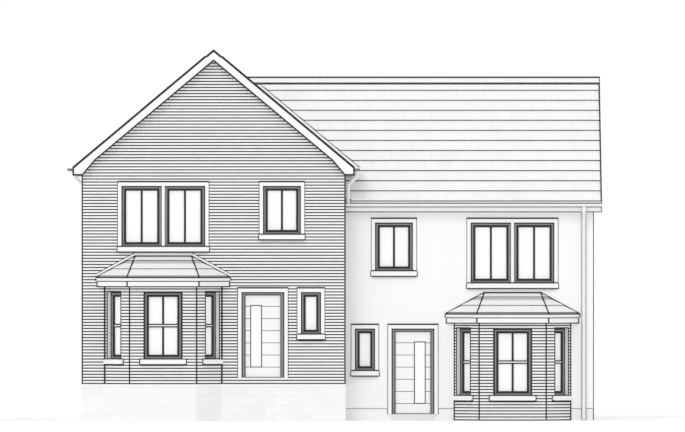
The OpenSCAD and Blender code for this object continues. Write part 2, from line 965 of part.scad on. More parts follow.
module casement(w, h, transom) {
    sash_y = reveal + sash_back;
    rim(w, h, frame_w, reveal, reveal + frame_d);
    translate([0, 0, frame_w])
        rim(w - 2 * frame_w, h - 2 * frame_w, sash_w, sash_y, reveal + frame_d);
    if (transom > 0) block([-w / 2 + frame_w, sash_y, transom - transom_h / 2],
        [w / 2 - frame_w, reveal + frame_d, transom + transom_h / 2]);
}

module casement_glass(w, h, transom) {
    edge = frame_w + sash_w;
    y0 = reveal + frame_d / 2;
    low = transom > 0 ? transom - transom_h / 2 : h - edge;
    block([-w / 2 + edge, y0, edge], [w / 2 - edge, y0 + glass_t, low]);
    if (transom > 0) block([-w / 2 + edge, y0, transom + transom_h / 2],
        [w / 2 - edge, y0 + glass_t, h - edge]);
}

// Places children at the middle of each casement of a window
module each_casement(win) {
    n = win[4];
    w = (win[1] - (n - 1) * post_w) / n;
    for (i = [0 : n - 1])
        translate([win[0] + (i - (n - 1) / 2) * (w + post_w), 0, win[2]]) children();
}

function casement_w(win) = (win[1] - (win[4] - 1) * post_w) / win[4];

module frames(windows) {
    for (win = windows) each_casement(win) casement(casement_w(win), win[3], 0);
}

module panes(windows) {
    for (win = windows) each_casement(win) casement_glass(casement_w(win), win[3], 0);
}

// Places children in the bay's deeper reveals, with y = 0 one reveal in front of the frame
module in_bay_window(side) {
    on_bay(side) translate([bay_window(side)[0], bay_reveal - reveal, bay_sill]) children();
}

module window_frames(left) {
    on_face(left, false) {
        frames(FRONT);
        for (side = [-1 : 1]) in_bay_window(side)
            casement(bay_window(side)[1], bay_window(side)[3], transom_at - bay_sill);
    }
    on_face(left, true) frames(BACK);
}

module window_glass(left) {
    on_face(left, false) {
        panes(FRONT);
        for (side = [-1 : 1]) in_bay_window(side)
            casement_glass(bay_window(side)[1], bay_window(side)[3], transom_at - bay_sill);
    }
    on_face(left, true) panes(BACK);
}

// Raised band up both sides of an opening and over it
module band(middle, w, foot, h) {
    translate([middle, 0, foot]) along_y(-band_out, 0) difference() {
        translate([-w / 2 - band_w, 0]) square([w + 2 * band_w, h + band_h]);
        translate([-w / 2, -past]) square([w, h + past]);
    }
}

module window_bands(windows) {
    for (win = windows) {
        band(win[0], win[1], win[2], win[3]);
        if (win[4] > 1) translate([win[0], 0, win[2]])
            block([-post_w / 2, -band_out, 0], [post_w / 2, reveal + frame_d, win[3]]);
    }
}

module surrounds(left) {
    on_face(left, false) {
        window_bands(FRONT);
        band(door_at, door_w, 0, lower_head);
    }
    on_face(left, true) window_bands(BACK);
}

// Part of a sill that stands out, with a weathered edge, past the frame at each side
module sill_nose(w) {
    along_x(-w / 2 - sill_ear, w / 2 + sill_ear) polygon([
        [0, -sill_h], [-sill_out, -sill_h], [-sill_out, -sill_fall],
        [-band_out, 0], [0, 0]
    ]);
}

// Part of a sill that lies in the wall
module sill_bed(w, depth) {
    block([-w / 2, 0, -sill_h], [w / 2, depth, 0]);
}

// Front outline of a sill with rounded ends
module rounded_sill(w) {
    end = w / 2 + sill_ear;
    in = end - sill_round;
    translate([-end, sill_round - sill_h]) square([2 * end, sill_h - 2 * sill_round]);
    translate([-in, -sill_h]) square([2 * in, sill_h]);
    for (x = [-in, in], z = [sill_round - sill_h, -sill_round])
        translate([x, z]) circle(sill_round);
}

// Sill of one side of the bay, cut off where it runs into the house's wall
module bay_sill_stone(side) {
    w = bay_window(side)[1];
    intersection() {
        on_bay(side) translate([bay_window(side)[0], 0, bay_sill]) intersection() {
            sill_nose(w);
            along_y(-sill_out, 0) rounded_sill(w);
        }
        block([-far, -far, -far], [far, 0, far]);
    }
    on_bay(side) translate([bay_window(side)[0], 0, bay_sill]) sill_bed(w, bay_t);
}

module window_sills(windows) {
    for (win = windows) translate([win[0], 0, win[2]]) {
        sill_nose(win[1]);
        sill_bed(win[1], wall_t);
    }
}

module sills(left) {
    on_face(left, false) {
        window_sills(FRONT);
        for (side = [-1 : 1]) bay_sill_stone(side);
    }
    on_face(left, true) window_sills(BACK);
}

module left_window_frames() {
    color("dimgray") window_frames(true);
}

module left_window_glass() {
    color("lightblue") window_glass(true);
}

module left_surrounds() {
    color("whitesmoke") surrounds(true);
}

module left_sills() {
    color("whitesmoke") sills(true);
}

module right_window_frames() {
    color("dimgray") window_frames(false);
}

module right_window_glass() {
    color("lightblue") window_glass(false);
}

module right_surrounds() {
    color("whitesmoke") surrounds(false);
}

module right_sills() {
    color("whitesmoke") sills(false);
}

// Front doors, hinged at the jamb nearer the party wall and opening inwards

// Jambs, head, threshold and the stop that the leaf shuts against
module door_frame(left) {
    on_face(left, false) translate([door_at - door_w / 2, 0, 0]) {
        difference() {
            block([0, reveal, 0], [door_w, reveal + frame_d, lower_head]);
            block([jamb_w, 0, threshold_h],
                [door_w - jamb_w, wall_t, lower_head - head_w]);
        }
        difference() {
            block([0, leaf_y - leaf_gap - stop_w, 0],
                [door_w, leaf_y - leaf_gap, lower_head]);
            block([jamb_w + stop_w, -past, threshold_h],
                [door_w - jamb_w - stop_w, wall_t, lower_head - head_w - stop_w]);
        }
    }
    on_face(left, false) translate([leaf_x, leaf_y, leaf_z]) hinges(false);
}

// Hinge parts on the Z axis of the pin: the leaf carries the middle knuckle, on the +X side,
// and the frame the upper and lower ones
module hinge(on_leaf) {
    third = hinge_h / 3;
    for (i = on_leaf ? [1] : [0, 2]) translate([0, 0, i * third]) {
        translate([0, 0, knuckle_gap / 2]) cylinder(r = knuckle_r, h = third - knuckle_gap);
        mirror([on_leaf ? 0 : 1, 0, 0])
            block([0, -pin_out, knuckle_gap / 2],
                [(on_leaf ? 0 : leaf_gap) + flap_w, -pin_out + flap_t, third - knuckle_gap / 2]);
        block([-flap_t / 2, -pin_out, knuckle_gap / 2], [flap_t / 2, 0, third - knuckle_gap / 2]);
    }
}

// Hinges up a leaf, from its foot
module hinges(on_leaf) {
    step = (leaf_h - 4 * hinge_h) / (hinge_n - 1);
    for (i = [0 : hinge_n - 1])
        translate([0, leaf_t + pin_out, 1.5 * hinge_h + i * step]) hinge(on_leaf);
}

module slot_outline(grow) {
    translate([leaf_w - slot_in - slot_w - grow, slot_from - leaf_z - grow])
        square([slot_w + 2 * grow, slot_h + 2 * grow]);
}

module door_leaf(left) {
    on_face(left, false) translate([leaf_x, leaf_y, leaf_z]) {
        difference() {
            block([0, 0, 0], [leaf_w, leaf_t, leaf_h]);
            along_y(-past, leaf_t + past) slot_outline(0);
            for (i = [0 : groove_n - 1])
                translate([-past, -past, groove_from - leaf_z + i * groove_pitch])
                    cube([leaf_w + 2 * past, groove_d + past, groove_w]);
        }
        along_y(0, groove_d) difference() {
            slot_outline(bead_w);
            slot_outline(0);
        }
        hinges(true);
    }
}

module door_glass(left) {
    on_face(left, false) translate([leaf_x, leaf_y + (leaf_t - glass_t) / 2, leaf_z])
        along_y(0, glass_t) slot_outline(0);
}

module left_door_frame() {
    color("dimgray") door_frame(true);
}

module left_door() {
    color("whitesmoke") door_leaf(true);
}

module left_door_glass() {
    color("lightblue") door_glass(true);
}

module right_door_frame() {
    color("dimgray") door_frame(false);
}

module right_door() {
    color("whitesmoke") door_leaf(false);
}

module right_door_glass() {
    color("lightblue") door_glass(false);
}

left_foundation();
left_front_piers();
left_front_gable();
left_flank_wall();
left_rear_wall();
party_wall();
right_front_piers();
right_front_upper_wall();
right_gable_wall();
right_rear_wall();
left_ground_floor();
left_first_floor();
right_ground_floor();
right_first_floor();
left_bay_front_wall();
left_bay_side_walls();
left_bay_eaves();
left_bay_roof();
left_bay_flashing();
right_bay_front_wall();
right_bay_side_walls();
right_bay_eaves();
right_bay_roof();
left_roof_outer_slope();
left_roof_inner_slope();
right_roof_front_slope();
right_roof_rear_slope();
ridge_tiles();
valley_lead();
bargeboards();
eaves_boards();
gutters();
downpipes();
left_window_frames();
left_window_glass();
left_surrounds();
left_sills();
right_window_frames();
right_window_glass();
right_surrounds();
right_sills();
left_door_frame();
left_door();
left_door_glass();
right_door_frame();
right_door();
right_door_glass();
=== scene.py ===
"""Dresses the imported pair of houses: masonry, tiles, bars, trim, finishes, light and camera."""

import random
from math import asin, ceil, copysign, cos, degrees, dist, floor, hypot, radians, sin, sqrt, tan

import bpy
from mathutils import Matrix, Vector


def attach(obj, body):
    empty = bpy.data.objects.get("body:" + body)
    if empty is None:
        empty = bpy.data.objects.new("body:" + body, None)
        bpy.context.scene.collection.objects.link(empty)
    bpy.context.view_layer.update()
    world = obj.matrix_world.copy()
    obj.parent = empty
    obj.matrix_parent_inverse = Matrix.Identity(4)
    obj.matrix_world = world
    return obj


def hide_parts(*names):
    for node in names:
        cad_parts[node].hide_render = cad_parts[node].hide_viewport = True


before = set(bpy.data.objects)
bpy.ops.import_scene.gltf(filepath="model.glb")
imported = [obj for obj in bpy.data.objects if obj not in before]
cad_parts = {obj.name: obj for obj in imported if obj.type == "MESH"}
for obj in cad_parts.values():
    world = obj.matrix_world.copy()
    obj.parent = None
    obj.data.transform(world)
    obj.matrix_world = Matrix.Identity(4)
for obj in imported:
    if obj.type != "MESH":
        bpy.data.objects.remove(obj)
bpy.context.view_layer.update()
random.seed(7)

# Sizes of the solids, in metres, from the party wall's middle and the lower ground
HANDS = ("left", "right")
HALF_D, HOUSE_W, PARTY_HALF = 4.1, 6.3, 0.185
LEFT_FRONT, LEFT_GROUND, FLOOR_RISE = -4.7, 0.9, 0.15
LEFT_FLOOR, RIGHT_FLOOR = LEFT_GROUND + FLOOR_RISE, FLOOR_RISE

# Roofs: each house's slopes rise from its eaves over its run to its apex
LEFT_PITCH, RIGHT_PITCH = radians(40), radians(35)
SIN_L, COS_L, TAN_L = sin(LEFT_PITCH), cos(LEFT_PITCH), tan(LEFT_PITCH)
SIN_R, COS_R, TAN_R = sin(RIGHT_PITCH), cos(RIGHT_PITCH), tan(RIGHT_PITCH)
OVERHANG, TILE_LIP, ROOF_T, VERGE_OUT = 0.214, 0.045, 0.125, 0.15
LEFT_MID, LEFT_HALF = (PARTY_HALF - HOUSE_W) / 2, (PARTY_HALF + HOUSE_W) / 2
LEFT_RUN, RIGHT_RUN = LEFT_HALF + OVERHANG, HALF_D + OVERHANG
LEFT_EAVE_Z, RIGHT_EAVE_Z = 6.035, 5.135
LEFT_HEEL, RIGHT_HEEL = 0.1702, 0.286
LEFT_APEX = LEFT_EAVE_Z + LEFT_HEEL + LEFT_RUN * TAN_L
RIGHT_APEX = RIGHT_EAVE_Z + RIGHT_HEEL + RIGHT_RUN * TAN_R
LEFT_Y0, LEFT_Y1, RIGHT_X1 = LEFT_FRONT - VERGE_OUT, HALF_D + VERGE_OUT, 6.497
BARGE_D, BARGE_CRANK, BARGE_COVER = 0.21, 0.31, 0.034
RIDGE_WING, RIDGE_T, VALLEY_W = 0.25, 0.018, 0.152

# Rainwater goods
GUTTER_R, LEFT_RIM, RIGHT_RIM = 0.07, 6.197, 5.331
LEFT_GUTTER_X, RIGHT_GUTTER_Y = LEFT_MID + LEFT_RUN + GUTTER_R, RIGHT_RUN + GUTTER_R
MEET_RUN = 3.477
PIPE_R, PIPE_FROM_WALL, PIPE_X = 0.042, 0.066, HOUSE_W - 0.25

# Bays, drawn from their own middle
BAY_AT, BAY_FRONT, BAY_OUT = 4.295, 0.825, 0.603
BAY_SIDE, BAY_SIDE_L = BAY_FRONT + BAY_OUT, BAY_OUT * sqrt(2)
BAY_WALL_H, BAY_EAVES, BAY_GROW = 2.246, 0.14, 0.16
BAY_ROOF_Z, BAY_EDGE, BAY_RISE, BAY_TOP = BAY_WALL_H + BAY_EAVES, 0.067, 0.526, 0.693
BAY_REVEAL, FLASH_H, LEAD_T = 0.105, 0.095, 0.005

# Windows and doors
REVEAL, FRAME_EDGE, GLASS_Y, GLASS_T = 0.07, 0.116, 0.105, 0.024
SASH_EDGE, SASH_Y, POST_W = 0.064, 0.082, 0.067
TRANSOM_AT, TRANSOM_H = 1.287, 0.066
BAND_W, BAND_H, BAND_OUT = 0.086, 0.108, 0.025
SILL_H, SILL_EAR = 0.11, 0.095
DOOR_AT, DOOR_W, HEAD = 1.845, 1.055, 2.11
JAMB_W, HEAD_W, STOP_W, STOP_Y, THRESHOLD = 0.078, 0.062, 0.02, 0.058, 0.014
LEAF_GAP, LEAF_Y = 0.008, 0.086
LEAF_X, LEAF_W = DOOR_AT - DOOR_W / 2 + JAMB_W + LEAF_GAP, DOOR_W - 2 * (JAMB_W + LEAF_GAP)

# A window is (middle, width, foot, height, casements, bars in each), from party wall and floor
TWIN = (BAY_AT, 2.06, 3.22, 1.5, 2, 1)
SINGLE = (1.378, 0.932, 3.52, 1.2, 1, 1)
NARROW = (0.664, 0.495, 1.065, 1.045, 1, 0)
FRONT = (TWIN, SINGLE, NARROW)
BACK = (TWIN, SINGLE, (BAY_AT, 2.06, 0.91, 1.2, 2, 1), (1.378, 0.932, 0.91, 1.2, 1, 1))
CANTED = (0.4498, 0.455, 1.655, 1, 0)
BAY_WINDOWS = {-1: (-0.1115, *CANTED), 0: (0, 0.932, 0.455, 1.655, 1, 1), 1: (0.1115, *CANTED)}

# Thin things sink into what carries them, and dark strips stand out from the face they mark
SUNK, DEEP, PROUD, OVER, CLEAR = 0.0005, 0.001, 0.0015, 0.0001, 0.001
JOINT = 0.015


# Finishes

class Nodes:
    """Short hand for the nodes of one material."""

    def __init__(self, name):
        self.material = bpy.data.materials.new(name)
        self.material.use_nodes = True
        self.tree = self.material.node_tree
        self.shader = self.tree.nodes["Principled BSDF"]
        self.coords = self.new("TexCoord").outputs["Object"]

    def link(self, source, socket):
        self.tree.links.new(source, socket)

    def new(self, kind, **inputs):
        node = self.tree.nodes.new("ShaderNode" + kind)
        for name, value in inputs.items():
            node.inputs[name].default_value = value
        return node

    def math(self, how, a, b, c=None):
        node = self.new("Math")
        node.operation = how
        for socket, value in zip(node.inputs, (a, b, c)):
            if hasattr(value, "links"):
                self.link(value, socket)
            elif value is not None:
                socket.default_value = value
        return node.outputs[0]

    def noise(self, size, detail=3.0, stretch=(1, 1, 1)):
        mapping = self.new("Mapping", Scale=[k / size for k in stretch])
        self.link(self.coords, mapping.inputs["Vector"])
        node = self.new("TexNoise", Scale=1.0, Detail=detail)
        self.link(mapping.outputs[0], node.inputs["Vector"])
        return node.outputs[0]

    def swing(self, value, amount):
        """amount times a value that runs from 0 to 1, centred on 0."""
        return self.math("MULTIPLY_ADD", value, 2 * amount, -amount)

    def scaled(self, colour, factor):
        node = self.new("VectorMath")
        node.operation = "SCALE"
        node.inputs[0].default_value = colour
        self.link(factor, node.inputs["Scale"])
        return node.outputs[0]

    def relief(self, height, strength, distance):
        node = self.new("Bump", Strength=strength, Distance=distance)
        self.link(height, node.inputs["Height"])
        self.link(node.outputs[0], self.shader.inputs["Normal"])


# Size, detail and stretch of the streaks, and the least slope that counts as looking up
STREAKS, LOOKS_UP = (0.35, 4.0, (3, 3, 0.25)), 0.3


def finish(name, colour, rough, patch=1.2, vary=0.04, grain=0.004, fine=0.03, bump=0.0003, tone=0.0,
           streak=0.0, stretch=(1, 1, 1), under=None):
    """Matt or satin surface; faces that don't look up take the colour under, where there is one."""
    n = Nodes(name)
    broad = n.noise(patch)
    small = n.noise(grain, 5.0, stretch)
    factor = n.math("ADD", n.swing(broad, vary), n.swing(small, fine))
    if streak:
        factor = n.math("ADD", factor, n.swing(n.noise(*STREAKS), streak))
    if tone:
        node = n.new("Attribute")
        node.attribute_name = "tone"
        factor = n.math("ADD", factor, n.swing(node.outputs["Fac"], tone))
    factor = n.math("ADD", factor, 1.0)
    base = n.scaled(colour, factor)
    if under is not None:
        normal = n.new("NewGeometry")
        split = n.new("SeparateXYZ")
        n.link(normal.outputs["Normal"], split.inputs[0])
        mix = n.new("Mix")
        mix.data_type = "RGBA"
        n.link(n.math("GREATER_THAN", split.outputs["Z"], LOOKS_UP), mix.inputs["Factor"])
        n.link(n.scaled(under, factor), mix.inputs["A"])
        n.link(base, mix.inputs["B"])
        base = mix.outputs["Result"]
    n.link(base, n.shader.inputs["Base Color"])
    n.link(n.math("ADD", n.swing(broad, 0.06), rough), n.shader.inputs["Roughness"])
    n.relief(small, 0.6, bump)
    return n.material


def glazing(name, colour=(0.96, 0.965, 0.967)):
    """Pale panes with uneven reflections and a faint painted glow, emitted by the glass itself, that keeps
    them pale.
    """
    n = Nodes(name)
    wave = n.noise(0.6, 1.0)
    n.link(n.scaled(colour, n.math("ADD", n.swing(wave, 0.03), 1.0)), n.shader.inputs["Base Color"])
    n.link(n.math("ADD", n.swing(wave, 0.015), 0.05), n.shader.inputs["Roughness"])
    # The emission is painted light: the panes glow faintly with no lamp behind them
    for socket, value in {"Transmission Weight": 0.08, "IOR": 1.45, "Emission Color": (*colour, 1),
                          "Emission Strength": 0.06}.items():
        n.shader.inputs[socket].default_value = value
    n.relief(wave, 0.2, 0.002)
    return n.material


PLASTER, PALE, TILE = (0.9, 0.9, 0.893), (0.88, 0.88, 0.875), (0.84, 0.844, 0.848)
BLACK, DARK, BRICKS = (0.012, 0.012, 0.012), (0.015, 0.015, 0.015), (0.87, 0.866, 0.855)
# A row says colour, roughness, size and strength of patches, size, strength and relief of the grain,
# spread of tones between laid pieces and strength of streaks
M = {
    "brick": finish("brick_face", BRICKS, 0.85, 0.9, 0.015, 0.006, 0.04, 0.0006, 0.035, 0.015),
    "perpend": finish("pale_mortar", (0.8, 0.797, 0.785), 0.92, fine=0.06),
    "bed": finish("dark_mortar", DARK, 0.95, fine=0.2, bump=0.0006),
    "core": finish("wall_plaster", PLASTER, 0.85),
    "block": finish("block_face", PALE, 0.92, 0.8, 0.015, 0.008, 0.05, 0.001, 0.02, 0.015),
    "block_joint": finish("block_mortar", (0.8, 0.8, 0.795), 0.95, fine=0.08),
    "render": finish("smooth_render", PLASTER, 0.8, 1.8, 0.01, 0.003, 0.012, 0.0004, streak=0.012),
    "concrete": finish("floated_concrete", (0.76, 0.76, 0.75), 0.75, 0.7, 0.04, 0.01, 0.05, 0.0005),
    "deck": finish("chipboard", (0.62, 0.5, 0.36), 0.7, 0.5, 0.05, 0.006, 0.14),
    "tile": finish("tile_face", TILE, 0.7, 1.5, 0.015, 0.005, 0.035, 0.0008, 0.02, 0.012),
    # Near black: painted shade on the tiles' edges under each course, and the own colour of the verge caps,
    # hip tiles and fillers
    "edge_shade_and_dark_trim": finish("edge_shade_and_dark_trim", (0.015, 0.015, 0.016), 0.85, fine=0.12),
    "strip": finish("grey_strip", (0.5, 0.503, 0.51), 0.75, fine=0.08),
    "underlay": finish("roof_slab", (0.12, 0.12, 0.12), 0.9, under=(0.8, 0.8, 0.795)),
    "ridge": finish("ridge_tile", TILE, 0.7, 0.8, 0.015, 0.005, 0.035, 0.0008, 0.015),
    "bedding": finish("ridge_bedding", DARK, 0.95, fine=0.15),
    "lead": finish("weathered_lead", (0.8, 0.805, 0.81), 0.55, 0.25, 0.05, 0.02, 0.03, 0.0005, streak=0.03),
    "board": finish("white_board", PALE, 0.4, 1.0, 0.015, 0.01, 0.012, 0.0002, stretch=(0.2, 0.2, 0.2)),
    "gutter": finish("white_gutter", (0.84, 0.84, 0.838), 0.3, 0.6, 0.02, 0.02, 0.012, 0.0001, streak=0.02),
    "frame": finish("grey_frame", (0.25, 0.253, 0.26), 0.42, 0.6, 0.05, 0.002, 0.06, 0.0001),
    # Black: seals, sashes, bars and door seals, and also painted shadow strips at the eaves and under the
    # bay roofs' tiles and boards
    "gasket": finish("black_gasket_and_shade", BLACK, 0.6, fine=0.2),
    "stone": finish("cast_stone", (0.88, 0.88, 0.87), 0.75, 0.8, 0.02, 0.003, 0.025, 0.0004, streak=0.015),
    "door": finish("door_leaf", (0.89, 0.893, 0.896), 0.38, 0.8, 0.015, 0.002, 0.02, 0.0001,
                   stretch=(1, 1, 0.08)),
    # Black: dark joints, and also painted shade in the door's grooves, behind the pipes and under the
    # render's lip
    "mastic": finish("dark_mastic_and_shade", BLACK, 0.6, fine=0.1),
    "glass": glazing("window_pane"),
    "door_glass": glazing("door_pane"),
}

# A node has the finish of the first text here that is in its name
FINISH_OF = {
    "foundation": "block_joint", "ground_floor": "concrete", "first_floor": "deck",
    "flashing": "lead", "valley": "lead", "slope": "underlay", "bay_roof": "underlay",
    "bay_eaves": "board", "boards": "board", "gutters": "gutter", "downpipes": "gutter",
    "ridge": "ridge", "_frame": "frame", "window_glass": "glass", "door_glass": "door_glass",
    "door": "door", "surrounds": "stone", "sills": "stone",
    "right_front": "render", "right_gable": "render", "right_rear": "render", "": "core",
}
for node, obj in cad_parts.items():
    if not obj.material_slots:
        obj.data.materials.append(None)
    for material_slot in obj.material_slots:
        material_slot.material = M[next(name for part, name in FINISH_OF.items() if part in node)]


# Shapes

# Points nearer than SAME fall together, and strips thinner than SLIVER are dropped
SAME, SLIVER, SHARPEST = 1e-4, 0.003, 0.3
WORLD = Matrix.Identity(4)
MIRROR, BEHIND = Matrix.Diagonal((-1, 1, 1, 1)), Matrix.Diagonal((1, -1, 1, 1))
# From (along, up, outward) to coordinates in which a wall's face is y = 0 and outward is -y
WALL = Matrix(((1, 0, 0, 0), (0, 0, -1, 0), (0, 1, 0, 0), (0, 0, 0, 1)))


def add(name, data):
    obj = bpy.data.objects.new(name, data)
    bpy.context.scene.collection.objects.link(obj)
    return obj


def move(x, y, z=0.0):
    return Matrix.Translation((x, y, z))


def spin(turn):
    return Matrix.Rotation(radians(turn), 4, "Z")


class Shape:
    """One piece under construction, made of closed solids, each with a tone."""

    def __init__(self, *finishes):
        self.finishes = finishes
        self.points, self.faces, self.marks, self.tones = [], [], [], []

    def sweep(self, at, rings, side=0, cap=0, tone=0.5, closed=False):
        """Joins loops of points, counter-clockwise seen from the last, and caps both ends."""
        start, size, count = len(self.points), len(rings[0]), len(rings)
        self.points.extend(at @ Vector(p) for ring in rings for p in ring)
        made = []
        for i in range(count if closed else count - 1):
            a, b = start + i * size, start + (i + 1) % count * size
            for j in range(size):
                k = (j + 1) % size
                made.append((side, (a + j, a + k, b + k, b + j)))
        if not closed:
            made.append((cap, tuple(range(start + size - 1, start - 1, -1))))
            made.append((cap, tuple(range(start + (count - 1) * size, start + count * size))))
        turned = at.determinant() < 0
        for mark, face in made:
            self.faces.append(face[::-1] if turned else face)
            self.marks.append(mark)
            self.tones.append(tone)

    def box(self, at, low, high, mark=0):
        (x0, y0, z0), (x1, y1, z1) = low, high
        self.sweep(at, [[(x0, y0, z), (x1, y0, z), (x1, y1, z), (x0, y1, z)] for z in (z0, z1)], mark, mark)

    def rim(self, at, outer, inner, y0, y1):
        """Rectangular frame of the second finish in the XZ plane, with mitred corners."""
        rings = []
        for (u, v), (p, q) in zip(rectangle(*outer), rectangle(*inner)):
            rings.append([(u, y0, v), (p, y0, q), (p, y1, q), (u, y1, v)])
        self.sweep(at, rings, 1, closed=True)

    def ribbon(self, at, points, wide, y0, y1):
        """Strip beside a line of (x, z) points, on its left, between two depths."""
        edge = []
        for i, (x, z) in enumerate(points):
            near = zip(points[max(0, i - 1):i + 1], points[max(1, i):i + 2])
            ways = [Vector(q) - Vector(p) for p, q in near]
            normals = [Vector((-w.y, w.x)).normalized() for w in ways]
            mid = sum(normals, Vector((0, 0))).normalized()
            edge.append(Vector((x, z)) + mid * (wide / mid.dot(normals[0])))
        self.sweep(at, [[(p[0], y0, p[1]), (q[0], y0, q[1]), (q[0], y1, q[1]), (p[0], y1, p[1])]
                        for p, q in zip(points, edge)])

    def arch(self, at, x0, x1, z0, z1, wide, y0, y1):
        """Strip up both sides of a rectangle and over it."""
        self.ribbon(at, [(x0, z0), (x0, z1), (x1, z1), (x1, z0)], wide, y0, y1)

    def make(self, name, slot, *replaced, body="house"):
        mesh = bpy.data.meshes.new(name)
        mesh.from_pydata(self.points, [], self.faces)
        mesh.polygons.foreach_set("material_index", self.marks)
        mesh.attributes.new("tone", "FLOAT", "FACE").data.foreach_set("value", self.tones)
        for finish_name in self.finishes:
            mesh.materials.append(M[finish_name])
        obj = add(name, mesh)
        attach(obj, body)
        if replaced:
            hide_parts(*replaced)


def rectangle(u0, v0, u1, v1):
    return [(u0, v0), (u1, v0), (u1, v1), (u0, v1)]


def sides(polygon):
    return zip(polygon, polygon[1:] + polygon[:1])


def ends(mid, w, ear=0.0):
    """Both ends of an opening, each moved out by an ear."""
    return mid - w / 2 - ear, mid + w / 2 + ear


def arc(first, last, steps=12):
    """(cosine, sine) of even angles from first to last, in degrees."""
    angles = [radians(first + i * (last - first) / steps) for i in range(steps + 1)]
    return [(cos(angle), sin(angle)) for angle in angles]


def cut(polygon, a, b, c):
    """The part of a convex polygon where a*u + b*v is at most c."""
    kept = []
    for (u0, v0), (u1, v1) in sides(polygon):
        d0, d1 = a * u0 + b * v0 - c, a * u1 + b * v1 - c
        if d0 <= 0:
            kept.append((u0, v0))
        if (d0 < 0 < d1) or (d1 < 0 < d0):
            t = d0 / (d0 - d1)
            kept.append((u0 + t * (u1 - u0), v0 + t * (v1 - v0)))
    return kept


def within(polygon, outline):
    """A convex polygon cut to a convex outline, both counter-clockwise."""
    for (u0, v0), (u1, v1) in sides(outline):
        a, b = v1 - v0, u0 - u1
        polygon = cut(polygon, a, b, a * u0 + b * v0)
    return polygon


def area(polygon):
    return sum(p[0] * q[1] - q[0] * p[1] for p, q in sides(polygon)) / 2


def tidy(polygon):
    """Drops points that fall together."""
    kept = []
    for p in polygon:
        if not kept or dist(p, kept[-1]) > SAME:
            kept.append(p)
    if len(kept) > 1 and dist(kept[0], kept[-1]) <= SAME:
        kept.pop()
    return kept


def around(rect, holes):
    """Rectangles (u0, v0, u1, v1) that are left of one without the holes."""
    parts = [rect]
    for h in holes:
        left = []
        for r in parts:
            if h[0] >= r[2] or h[2] <= r[0] or h[1] >= r[3] or h[3] <= r[1]:
                left.append(r)
                continue
            low, high = max(r[1], h[1]), min(r[3], h[3])
            left += [(r[0], r[1], r[2], low), (r[0], high, r[2], r[3]),
                     (r[0], low, h[0], high), (h[2], low, r[2], high)]
        parts = [r for r in left if r[2] - r[0] > SLIVER and r[3] - r[1] > SLIVER]
    return parts


def pieces_of(rect, outline, holes, least=2e-4):
    """Convex polygons of a rectangle inside an outline and outside the holes."""
    for r in around(rect, holes):
        polygon = tidy(within(rectangle(*r), outline))
        if len(polygon) > 2 and area(polygon) > least:
            yield polygon


def between(polygon, *limits):
    """A convex polygon cut by half-planes (a, b, c)."""
    for limit in limits:
        polygon = cut(polygon, *limit)
    return tidy(polygon)


def shrunk(polygon, d):
    """A convex polygon with every side moved in, less so at very sharp corners."""
    out = []
    for i, p in enumerate(polygon):
        q, r = polygon[i - 1], polygon[(i + 1) % len(polygon)]
        e = [(p[0] - q[0], p[1] - q[1]), (r[0] - p[0], r[1] - p[1])]
        n = [(-y / hypot(x, y), x / hypot(x, y)) for x, y in e]
        k = d / max(SHARPEST, 1 + n[0][0] * n[1][0] + n[0][1] * n[1][1])
        out.append((p[0] + k * (n[0][0] + n[1][0]), p[1] + k * (n[0][1] + n[1][1])))
    return out if area(out) > 0.5 * area(polygon) else polygon


def flat(shape, at, polygon, low, high, mark=0, tone=0.5, edge=0.0):
    """Slab on a plane between two heights, its top drawn in by an edge."""
    top = shrunk(polygon, edge) if edge else polygon
    shape.sweep(at, [[(u, v, low) for u, v in polygon], [(u, v, high) for u, v in top]], mark, mark, tone)


def plane(origin, u, v):
    """Matrix from (along, up, outward) of a surface to the world."""
    u, v = Vector(u).normalized(), Vector(v).normalized()
    return Matrix.Translation(Vector(origin)) @ Matrix((u, v, u.cross(v))).transposed().to_4x4()


def face_at(left, back=False):
    """Matrix of a front or back, drawn from party wall, wall face and floor."""
    y = HALF_D if back else (LEFT_FRONT if left else -HALF_D)
    turn = Matrix.Diagonal((-1 if left else 1, -1 if back else 1, 1, 1))
    return move(0, y, LEFT_FLOOR if left else RIGHT_FLOOR) @ turn


def bay_face(left, side):
    """Matrix of a side of a bay, drawn from its middle: -1 and 1 are canted, 0 is the front."""
    x = BAY_AT + side * (BAY_FRONT + BAY_SIDE) / 2
    y = -BAY_OUT if side == 0 else -BAY_OUT / 2
    return face_at(left) @ move(x, y) @ spin(45 * side)


def bay_half(side):
    return BAY_SIDE_L / 2 if side else BAY_FRONT


# Masonry: a kind is (finishes, slot, course, bed joint, length, gap, marks of face, row and bed joint)

BED_OUT, ROW_OUT, FACE_OUT, FACE_SPREAD, FACE_EDGE = 0.001, 0.0025, 0.004, 0.0004, 0.002
TONE_SPREAD, SHORTEST, FLANK_SHIFT = 0.22, 0.01, 0.11
BRICK = (("brick", "perpend", "bed"), "brick", 0.075, 0.028, 0.225, 0.006, (0, 1, 2))
BLOCK = (("block", "block_joint"), "blockwork", 0.225, 0.01, 0.45, 0.01, (0, 1, 1))
# The laid faces end where their outer faces meet at a corner
OUTER_END, INNER_END = HOUSE_W + FACE_OUT, -PARTY_HALF - FACE_OUT
LEFT_TOP = LEFT_APEX - ROOF_T / COS_L - LEFT_FLOOR
LEFT_SHOULDER = LEFT_TOP - LEFT_HALF * TAN_L


def any_tone():
    return min(1.0, max(0.0, random.gauss(0.5, TONE_SPREAD)))


